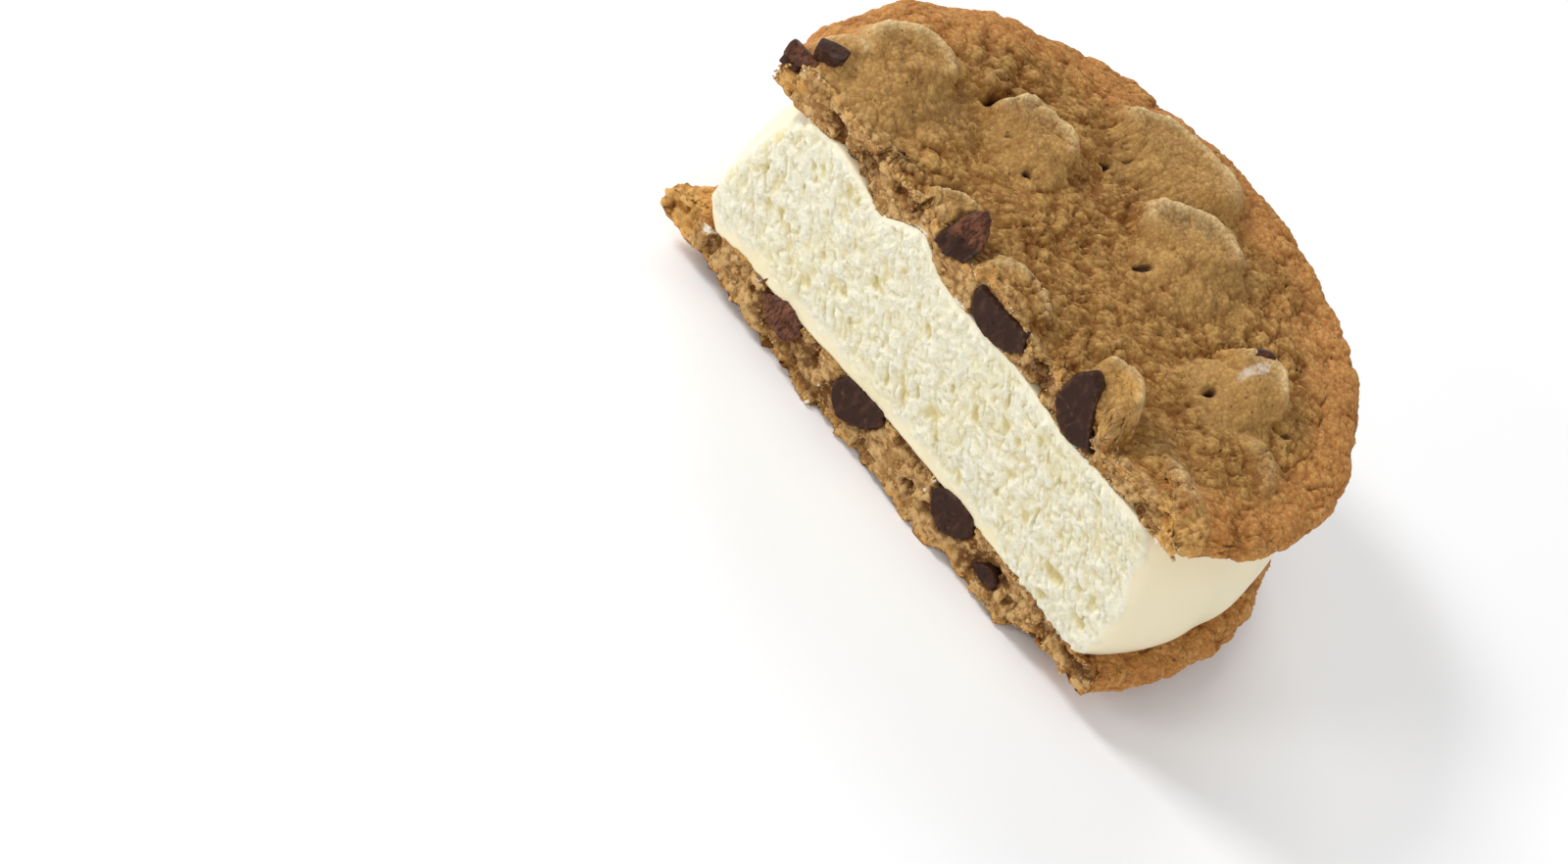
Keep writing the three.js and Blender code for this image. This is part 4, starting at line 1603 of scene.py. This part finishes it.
@dataclass(frozen=True)
class BakedDough:
    """Cookie: brown in the middle, orange brown at the rim, floury on its puffs, crumbly where cut, with
    painted light and shade.
    """

    centre: Colour = paint(146, 108, 54)
    rim: Colour = paint(186, 127, 68)
    floury: Colour = paint(173, 135, 79)
    # Paler thin dough on each puff's lip, with a painted highlight along it.
    crest_flour_and_highlight: Colour = paint(232, 206, 154)
    grey: Colour = paint(142, 124, 90)
    # Painted shade in the valleys and beside the puffs.
    shade: Colour = paint(104, 78, 42)
    speck: Colour = paint(92, 56, 26)
    # Also painted light on the raised lumps.
    pale: Colour = paint(208, 166, 98)
    # Also painted shade in the low places and between the grains.
    brown: Colour = paint(128, 80, 32)
    # Painted shade in the cracks of the skin.
    crease: Colour = paint(122, 68, 25)
    # Painted shade inside the pits.
    pit: Colour = paint(56, 31, 17)
    bloom: Colour = paint(220, 212, 198)
    crumb: Colour = paint(151, 111, 62)
    crumb_light: Colour = paint(199, 162, 108)
    # Painted shade in the gaps between crumbs, round the chips and deep in the cut.
    crumb_gap_shade: Colour = paint(106, 62, 28)
    golden: Colour = paint(228, 172, 94)
    frost: Colour = paint(226, 216, 200)

    def make(self) -> bpy.types.Material:
        """Builds the material."""
        bench = Bench("baked_dough")
        mark = bench.mark
        patches, coarse = bench.noise(6.0, 3.0), bench.noise(0.9, 3.0, 0.65)
        fine = bench.noise(0.3, 3.0, 0.75)
        round_grain, grey_grain = bench.grains(0.55)
        blotch = coarse - 0.5
        floury, raised = mark("floury"), mark("raised") + 0.5 * blotch
        crumb = bench.layers(self.crumb, (
            ((mark("tint") + 1.1 * blotch).rising(0.3, 0.75), self.crumb_light),
            # Painted shade in the gaps between crumbs, round the chips and deep in the cut.
            (0.8 * (mark("dark") + 0.7 * (0.5 - fine)).rising(0.1, 0.9), self.crumb_gap_shade),
            (0.5 * grey_grain.rising(0.52, 0.72), self.crumb_light),
        ))
        base = bench.layers(self.centre, (
            ((mark("rim") + 0.35 * (patches - 0.5)).rising(0.1, 0.9), self.rim),
            (0.9 * (floury + 0.4 * blotch).rising(0.1, 0.8), self.floury),
            # Painted light and shade: paler on the raised lumps, browner in the low places.
            (0.6 * raised.rising(0.5, 0.95), self.pale),
            ((0.6 - 0.35 * floury) * (1.0 - raised).rising(0.5, 0.9), self.brown),
            (0.8 * (mark("grey") * (0.4 + 1.2 * coarse)).rising(0.1, 0.8), self.grey),
            # Painted shade in the valleys and beside the puffs, partly the dough's own darker tone.
            (0.6 * (mark("shade") * (0.5 + coarse)).rising(0.05, 0.9), self.shade),
            # Paler thin dough on each puff's lip, with a painted highlight along it.
            (0.9 * mark("crest_flour_and_highlight") * (0.2 + 1.3 * coarse), self.crest_flour_and_highlight),
            # Painted shade: darker in the cracks.
            (0.75 * mark("crease"), self.crease),
            # Painted shade: browner at the edges of the grains, between them.
            (0.28 * (0.62 - round_grain).rising(0.0, 0.22), self.brown),
            (0.36 * (grey_grain + 0.6 * (fine - 0.5)).rising(0.54, 0.80), self.pale),
            (0.18 * (1.0 - fine).rising(0.54, 0.68), self.speck),
            (0.80 * bench.specks(1.5, 0.56, 0.17), self.speck),
            (0.7 * (mark("bloom") * (0.1 + 1.3 * coarse)).rising(0.3, 1.05), self.bloom),
            (mark("crumb"), crumb),
            (0.5 * mark("skin"), self.golden),
            (0.55 * (mark("golden") + 1.4 * blotch).rising(0.2, 1.0), self.golden),
            ((mark("frost") + 0.5 * blotch).rising(0.3, 0.8), self.frost),
            # Painted shade: the pits are coloured near-black inside.
            (mark("pit").rising(0.25, 0.9), self.pit),
        ))
        lumps = bench.bump(coarse, 0.16, 0.8, bench.bump(round_grain + 0.7 * fine, 0.16, 1.0))
        return bench.finish({"Base Color": base, "Roughness": 0.50 + 0.3 * coarse, "Normal": lumps,
                             "IOR": 1.42, "Specular IOR Level": 0.14})


@dataclass(frozen=True)
class FrozenCream:
    """Ice cream: near white where torn, with painted yellow shade in its hollows, and creamier on its smooth
    side.
    """

    side: Colour = paint(228, 217, 184)
    torn: Colour = paint(230, 226, 206)
    # Painted shade of the torn face's hollows.
    hollow: Colour = paint(214, 198, 136)
    warm: Colour = paint(226, 213, 160)

    def make(self) -> bpy.types.Material:
        """Builds the material."""
        bench = Bench("frozen_cream")
        torn, bubbles = bench.mark("torn"), bench.noise(0.5, 3.0, 0.65)
        base = bench.layers(self.side, (
            (torn.rising(0.0, 0.6), self.torn),
            # Painted shade: yellow in the low places, pits and airy holes.
            (0.8 * bench.mark("hollow"), self.hollow),
            (0.45 * bench.mark("warm") * bench.noise(0.8, 2.0), self.warm),
            # Painted shade: yellow where the bump's foam noise is low.
            (0.50 * torn * (1.0 - bubbles).rising(0.48, 0.68), self.hollow),
        ))
        foam = bench.bump((bench.noise(0.30, 3.0, 0.7) + 0.6 * bubbles) * torn, 0.17, 1.0)
        rough = bench.bump(bench.noise(0.8, 3.0, 0.6) * torn, 0.18, 0.6, foam)
        return bench.finish({
            "Base Color": base, "Roughness": 0.42 + 0.2 * torn, "Normal": rough, "IOR": 1.33,
            "Specular IOR Level": 0.4, "Subsurface Weight": 0.12,
            "Subsurface Radius": (1.0, 0.8, 0.5), "Subsurface Scale": 0.0004})


@dataclass(frozen=True)
class DarkChocolate:
    """Chocolate: dark brown and smooth where sliced, reddish and granular where broken."""

    smooth: Colour = paint(50, 29, 20)
    streak: Colour = paint(92, 60, 44)
    broken: Colour = paint(124, 76, 53)
    dust: Colour = paint(128, 92, 66)

    def make(self) -> bpy.types.Material:
        """Builds the material."""
        bench = Bench("dark_chocolate")
        scratches = bench.noise(1.9, 2.0, 0.5, (1.8, 1.0, 0.7))
        flecks = bench.noise(0.7, 3.0, 0.7, (2.2, 1.0, 0.6))
        base = bench.layers(self.smooth, (
            (0.45 * scratches.rising(0.50, 0.72), self.streak),
            (bench.mark("raw") * flecks.rising(0.36, 0.66), self.broken),
            (0.7 * bench.mark("worn") * bench.noise(0.5, 2.0).rising(0.45, 0.7), self.dust),
        ))
        fine = bench.bump(bench.noise(0.35, 3.0, 0.6), 0.06, 0.4)
        return bench.finish({
            "Base Color": base, "Roughness": 0.42 + 0.25 * bench.noise(1.2, 2.0), "Normal": fine,
            "IOR": 1.45, "Specular IOR Level": 0.18})


@dataclass(frozen=True)
class PaleFloor:
    """A plain pale surface to stand on."""

    colour: Colour = paint(249, 249, 250)

    def make(self) -> bpy.types.Material:
        """Builds the material."""
        sockets = {"Base Color": self.colour, "Roughness": 0.6, "Specular IOR Level": 0.2}
        return Bench("pale_floor").finish(sockets)


# ---------------------------------------------------------------- the sandwich


@dataclass
class Sandwich:
    """The whole piece: two cookies, the filling, the chips and the crumbs.

    Painted shade spots, pits and puffs lie in x and y on the upper cookie; cavities and airy places in x and
    z on the cut.
    """

    first_chip_seed: int = 60
    chips: tuple[CutChip, ...] = (
        CutChip("chip_lens", 2.6, 30.6, Reach(
            (0, 25, 55, 90, 125, 155, 180, 208, 240, 275, 305, 335),
            (4.7, 4.6, 2.6, 2.1, 2.6, 4.7, 4.0, 3.4, 2.7, 2.45, 2.9, 3.7)),
            back=-0.10, depth=4.4, scores=((3.2, 29.0, 4.0, 31.2),)),
        CutChip("chip_dome", 17.0, 31.5, Reach(
            (0, 30, 60, 84, 105, 133, 171, 211, 251, 288, 310, 324, 341),
            (2.4, 2.1, 2.3, 4.1, 5.8, 4.2, 3.25, 3.3, 3.6, 4.6, 4.7, 5.3, 2.9)),
            back=-0.20, scores=((13.9, 31.2, 17.6, 30.4), (17.6, 30.4, 17.0, 28.6))),
        CutChip("chip_ragged", -7.1, 33.9, Reach(
            (10, 47, 88, 113, 145, 180, 214, 257, 331),
            (2.4, 1.95, 2.4, 3.15, 2.6, 2.3, 2.9, 2.2, 2.6)),
            back=1.5, snap=Snap.BROKEN, depth=3.0, lean=1.05, red_from=0.1),
        CutChip("chip_low_far", -19.7, 6.0, Reach(
            (0, 34, 65, 97, 143, 177, 201, 230, 262, 310),
            (3.8, 3.2, 2.5, 2.4, 2.6, 3.8, 2.8, 2.3, 2.2, 3.0)),
            back=0.0, snap=Snap.BROKEN, depth=4.0, red_from=-3.0),
        CutChip("chip_low_middle", -5.0, 5.9, Reach(
            (13, 36, 62, 90, 120, 148, 184, 210, 250, 264, 310, 340),
            (4.4, 4.2, 2.9, 2.5, 2.8, 3.8, 4.2, 3.8, 3.6, 3.0, 2.5, 3.0)),
            back=-0.12, depth=4.4, scores=((-3.4, 6.6, -2.4, 5.2), (-7.6, 6.2, -7.0, 5.4))),
        CutChip("chip_low_near", 12.4, 6.2, Reach(
            (1, 36, 62, 90, 115, 140, 174, 226, 275, 325),
            (4.1, 3.6, 2.7, 2.4, 2.6, 3.1, 3.6, 2.8, 3.2, 3.4)),
            back=-0.05, depth=3.8, scores=((13.0, 6.9, 13.6, 3.8), (11.8, 5.4, 13.2, 5.0))),
        CutChip("chip_low_end", 20.6, 3.9, Reach(
            (6, 80, 144, 193, 270, 330),
            (1.9, 1.3, 1.4, 2.25, 1.25, 2.05)),
            back=0.35, depth=2.6),
    )
    bedded: tuple[BeddedChip, ...] = (
        BeddedChip("chip_corner", -34.7, -14.2, 36.1, (2.1, 1.4, 1.3), 25, 8, raw=0.1),
        BeddedChip("chip_shard", -35.7, -15.9, 34.6, (3.0, 0.9, 0.9), 9, 28, taper=0.3, raw=0.6),
        BeddedChip("chip_end", -37.3, -15.7, 32.8, (1.5, 1.0, 0.8), 20, -14, raw=0.1),
        BeddedChip("chip_bloomed", 22.4, 12.3, 34.0, (1.9, 0.55, 1.2), 44, -14, taper=0.2, raw=0.1),
    )
    puffs: tuple[Puff, ...] = (
        Puff(-29.5, -5.0, 135, 2.6, 0.30, even(
            8.4, 8.8, 9.2, 9.5, 8.8, 8.0, 7.9, 8.8, 10.5, 12.0, 12.0, 9.2), grey=0.25, fade=0.85),
        Puff(-15.6, 5.0, 118, 2.9, 0.31, even(
            8.8, 8.0, 8.2, 7.6, 7.8, 7.4, 6.9, 6.3, 6.0, 6.0, 7.0, 8.2), grey=0.4),
        Puff(-23.4, 6.8, 150, 1.1, 0.22, even(2.6, 2.2, 2.4, 2.6, 2.6, 2.4, 2.0, 2.0, 2.2, 2.4, 2.6, 2.8)),
        Puff(-6.5, 23.5, 112, 2.5, 0.28, even(
            12.5, 14.5, 12.8, 10.2, 9.4, 9.6, 9.4, 8.7, 7.0, 8.0, 8.0, 10.0), pale=1.2, grey=0.2),
        Puff(5.5, 15.0, 130, 2.8, 0.28, even(
            10.0, 10.2, 11.0, 10.9, 9.8, 9.2, 8.6, 8.1, 8.0, 9.0, 10.0, 10.0), grey=0.6),
        Puff(24.2, 8.8, 95, 3.7, 0.42, even(
            6.2, 6.2, 6.6, 7.0, 6.8, 6.6, 6.8, 6.8, 7.4, 8.0, 7.0, 6.2), pale=1.3, grey=0.5, fade=1.0),
        Puff(18.2, -13.6, 90, 4.8, 0.44, even(
            5.4, 5.4, 5.4, 5.3, 5.4, 5.3, 5.0, 4.9, 5.0, 5.0, 5.4, 5.4), gentle=0.8),
        Puff(2.6, -14.6, 110, 1.8, 0.35, even(
            7.5, 6.5, 6.0, 6.2, 6.8, 7.6, 7.5, 7.0, 7.0, 7.0, 7.0, 7.0), pale=0.3),
        Puff(-11.4, -13.6, 130, 1.7, 0.30, even(3.8, 3.8, 3.8, 3.6, 3.4, 3.2, 3.4, 4.0, 5.0, 5.5, 5.0, 4.5)),
        Puff(-20.0, -15.5, 90, 0.9, 0.80, even(
            9.0, 7.0, 5.5, 5.0, 5.5, 7.0, 9.0, 9.0, 8.0, 8.0, 8.0, 9.0), pale=0.2),
        Puff(-34.4, -12.0, 130, 1.6, 0.40, even(3.9, 3.9, 3.9, 3.9, 3.9, 3.9, 4.0, 4.5, 5.0, 5.5, 5.0, 4.0)),
        Puff(29.5, -12.5, 80, 1.5, 0.70, even(
            8.0, 7.0, 6.0, 6.0, 6.0, 6.0, 6.0, 6.0, 6.5, 7.0, 8.0, 8.0), pale=0.0),
        Puff(31.5, 1.0, 60, 0.7, 0.60, even(
            7.0, 7.0, 7.0, 7.0, 6.0, 6.0, 7.0, 8.0, 8.0, 8.0, 8.0, 7.0), pale=0.0),
    )
    # Painted shade in the valleys and beside the puffs, partly the dough's own darker tone.
    shade_spots: tuple[Spot, ...] = (
        Spot(-21.0, -2.0, 3.6, 5.0, 0.75),
        Spot(-25.5, 9.0, 2.0, 2.6, 0.35),
        Spot(-4.5, 9.5, 3.6, 5.0, 0.50),
        Spot(11.0, 5.5, 4.0, 3.0, 0.55),
        Spot(1.0, 3.5, 3.6, 2.2, 0.45),
        Spot(-8.0, -4.0, 3.5, 2.6, 0.25),
        Spot(25.5, -8.0, 2.2, 1.6, 0.60),
        Spot(27.5, 17.5, 1.6, 1.4, 0.55),
        Spot(18.5, 23.0, 4.0, 2.0, 0.30),
        Spot(31.0, -4.5, 2.6, 2.2, 0.35),
    )
    pits: tuple[Pit, ...] = (
        Pit(-22.1, 6.0, 2.3, 1.1, 80, 2.4),
        Pit(-16.4, 2.4, 0.8, 0.35, 20, 0.7),
        Pit(-18.4, 1.6, 0.5, 0.3, 50, 0.5),
        Pit(-12.0, 1.6, 0.9, 0.5, 20, 1.0),
        Pit(-9.1, 15.6, 1.3, 0.75, 80, 1.0),
        Pit(-9.0, 19.6, 1.5, 0.40, 70, 0.6),
        Pit(-8.9, 22.0, 1.3, 0.40, 104, 0.5),
        Pit(-10.3, 20.2, 0.9, 0.5, 30, 0.6),
        Pit(5.0, 8.4, 1.5, 1.1, 80, 0.9),
        Pit(22.2, 3.2, 1.2, 0.65, 75, 1.3),
        Pit(31.2, 10.4, 1.6, 1.0, 80, 0.7),
        Pit(-27.4, -6.0, 0.45, 0.3, 0, 0.6),
        Pit(27.9, 0.0, 0.6, 0.4, 0, 0.4),
    )
    upper_cavities: tuple[Spot, ...] = (
        Spot(-7.2, 36.0, 2.9, 2.6, 3.4),
        Spot(-22.0, 31.6, 3.2, 0.9, 1.1),
        Spot(-15.5, 32.6, 2.6, 0.8, 1.0),
        Spot(-27.5, 32.2, 1.6, 0.8, 0.9),
        Spot(12.2, 32.2, 0.9, 0.9, 2.0),
        Spot(10.0, 30.2, 1.5, 0.45, 1.6),
        Spot(11.8, 29.4, 1.3, 1.0, 1.0),
        Spot(33.5, 29.8, 2.8, 0.45, 1.4),
        Spot(-35.5, 30.0, 3.0, 1.2, 0.5),
    )
    lower_cavities: tuple[Spot, ...] = (
        Spot(-12.9, 4.6, 1.2, 1.1, 1.8),
        Spot(22.6, 4.7, 1.2, 0.8, 1.9),
        Spot(17.4, 3.2, 0.9, 0.9, 1.2),
        Spot(-28.5, 4.2, 2.0, 0.7, 0.8),
        Spot(36.0, 5.6, 1.2, 0.8, 1.0),
        Spot(-36.4, 6.0, 0.8, 2.2, 1.2),
        Spot(-15.0, 2.2, 0.8, 1.0, 1.0),
        Spot(6.4, 3.6, 0.8, 1.2, 0.9),
    )
    airy: tuple[Spot, ...] = (
        Spot(-31.0, 19.5, 1.6, 1.1, 0.9),
        Spot(-34.0, 14.5, 0.9, 1.4, 0.9),
        Spot(-30.0, 14.0, 1.2, 0.9, 0.7),
        Spot(-33.0, 24.0, 0.9, 0.8, 0.7),
        Spot(3.0, 14.0, 1.1, 0.8, 0.7),
        Spot(27.0, 12.0, 1.8, 0.6, 0.9),
        Spot(33.5, 10.5, 1.0, 0.6, 0.8),
        Spot(-14.0, 20.0, 0.9, 0.6, 0.5),
        Spot(15.0, 17.0, 1.0, 0.5, 0.5),
    )

    def layers(self) -> tuple[LowerCookie, Filling, UpperCookie]:
        """The two cookies and the filling between them, from the bottom up."""
        lower = LowerCookie(
            "cookie_bottom", 42.05, 0.5, 0.5, lobes=(Lobe(194, -1.5, 60), Lobe(204, 3.4, 120)),
            rim_z=4.6, rim_band=1.9, chips=self.chips[3:], cavities=self.lower_cavities, grain=Grain(31))
        upper = UpperCookie(
            "cookie_top", 42.1, -0.6, -1.6, depth_share=0.968,
            lobes=(Lobe(25, 1.0, 2), Lobe(155, -2.0, 2), Lobe(-27, -2.6, 14), Lobe(206, -0.8, 24)),
            rim_z=29.3, rim_width=6.5, chips=self.chips[:3], cavities=self.upper_cavities,
            puffs=self.puffs, pits=self.pits, shade_spots=self.shade_spots, grain=Grain(21), levels=28)
        filling = Filling(
            "ice_cream", 40.3, 0.2, 0.4, lower=lower, upper=upper, hollows=self.airy, grain=Grain(41),
            crowd=1.0, cut_steps=340, arc_steps=84, levels=90, under_shares=(1.0, 0.97, 0.8, 0.4))
        return lower, filling, upper

    def build(self) -> list[bpy.types.Object]:
        """Builds and dresses every piece in order.

        Returns:
            The pieces made.
        """
        dough, cream, chocolate = BakedDough().make(), FrozenCream().make(), DarkChocolate().make()
        lower, filling, upper = self.layers()
        pieces = []
        for layer, name, finish, slot in (
                (lower, "cookie_bottom_baked", dough, "crust"),
                (filling, "ice_cream_torn", cream, "cream"),
                (upper, "cookie_top_baked", dough, "crust")):
            piece = layer.dress().make(name, finish, slot)
            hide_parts(layer.name)
            pieces.append(piece)
        for seed, chip in enumerate((*self.chips, *self.bedded), self.first_chip_seed):
            piece = chip.shell(Grain(seed)).make(chip.node + "_chocolate", chocolate, "chocolate")
            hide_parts(chip.node)
            pieces.append(piece)
        crumbs = [Crumbs(seed).shell(cookie) for seed, cookie in ((5, upper), (6, lower))]
        pieces.append(join_shells(crumbs).make("crumbs", dough, "crust"))
        return pieces


# ---------------------------------------------------------------- surroundings


@dataclass(frozen=True)
class Lamp:
    """A soft square lamp aimed at the middle of the piece."""

    name: str
    place: tuple[float, float, float]
    size: float
    power: float
    colour: tuple[float, float, float] = (1.0, 1.0, 1.0)

    def make(self, target: Vector) -> None:
        """Makes the lamp.

        Args:
            target: the place it shines on.
        """
        light = bpy.data.lights.new(self.name, "AREA")
        light.size, light.energy, light.color = self.size, self.power, self.colour
        lamp = bpy.data.objects.new(self.name, light)
        lamp.location = self.place
        lamp.rotation_euler = (target - Vector(self.place)).to_track_quat("-Z", "Y").to_euler()
        bpy.context.scene.collection.objects.link(lamp)


@dataclass(frozen=True)
class Studio:
    """Floor, lamps, sky and camera."""

    floor_size: float = 8.0
    sky: float = 0.42
    lens: float = 110.9
    clip: tuple[float, float] = (0.01, 50.0)
    lit_place: tuple[float, float, float] = (0.0, 0.0, 0.02)
    eye: tuple[float, float, float] = (0.14554, -0.43538, 0.37268)
    right: tuple[float, float, float] = (0.62379, 0.63905, 0.45001)
    down: tuple[float, float, float] = (0.73475, -0.28313, -0.61643)
    lamps: tuple[Lamp, ...] = (
        Lamp("key", (-0.75, -0.22, 0.60), 0.24, 5.0),
        Lamp("front", (-0.50, -0.88, 0.36), 0.28, 3.4),
        Lamp("near", (0.90, -0.40, 0.40), 0.9, 5.0),
        Lamp("back", (-0.56, 0.66, 0.52), 0.6, 4.4),
    )

    def build(self) -> None:
        """Builds everything round the piece."""
        half = self.floor_size / 2
        mesh = bpy.data.meshes.new("floor")
        square = [(-half, -half, 0.0), (half, -half, 0.0), (half, half, 0.0), (-half, half, 0.0)]
        mesh.from_pydata(square, [], [(0, 1, 2, 3)])
        mesh.materials.append(PaleFloor().make())
        floor = bpy.data.objects.new("floor", mesh)
        bpy.context.scene.collection.objects.link(floor)
        world = bpy.data.worlds.new("sky")
        world.use_nodes = True
        background = world.node_tree.nodes["Background"].inputs
        background["Color"].default_value = (1.0, 1.0, 1.0, 1.0)
        background["Strength"].default_value = self.sky
        bpy.context.scene.world = world
        bpy.context.scene.view_settings.view_transform = "Standard"
        for lamp in self.lamps:
            lamp.make(Vector(self.lit_place))
        self.aim()

    def aim(self) -> None:
        """Places the camera: its own axes are right, up and back."""
        right, up = Vector(self.right).normalized(), -Vector(self.down).normalized()
        back = right.cross(up).normalized()
        up = back.cross(right)
        camera = bpy.data.cameras.new("camera")
        camera.lens = self.lens
        camera.clip_start, camera.clip_end = self.clip
        eye = bpy.data.objects.new("camera", camera)
        turned = Matrix((right, up, back)).transposed().to_4x4()
        turned.translation = Vector(self.eye)
        eye.matrix_world = turned
        bpy.context.scene.collection.objects.link(eye)
        bpy.context.scene.camera = eye


def main() -> None:
    logging.basicConfig(level=logging.INFO, format="%(name)s: %(message)s")
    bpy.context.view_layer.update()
    pieces = Sandwich().build()
    Studio().build()
    LOG.info("%d pieces", len(pieces))


if __name__ == "__main__":
    main()
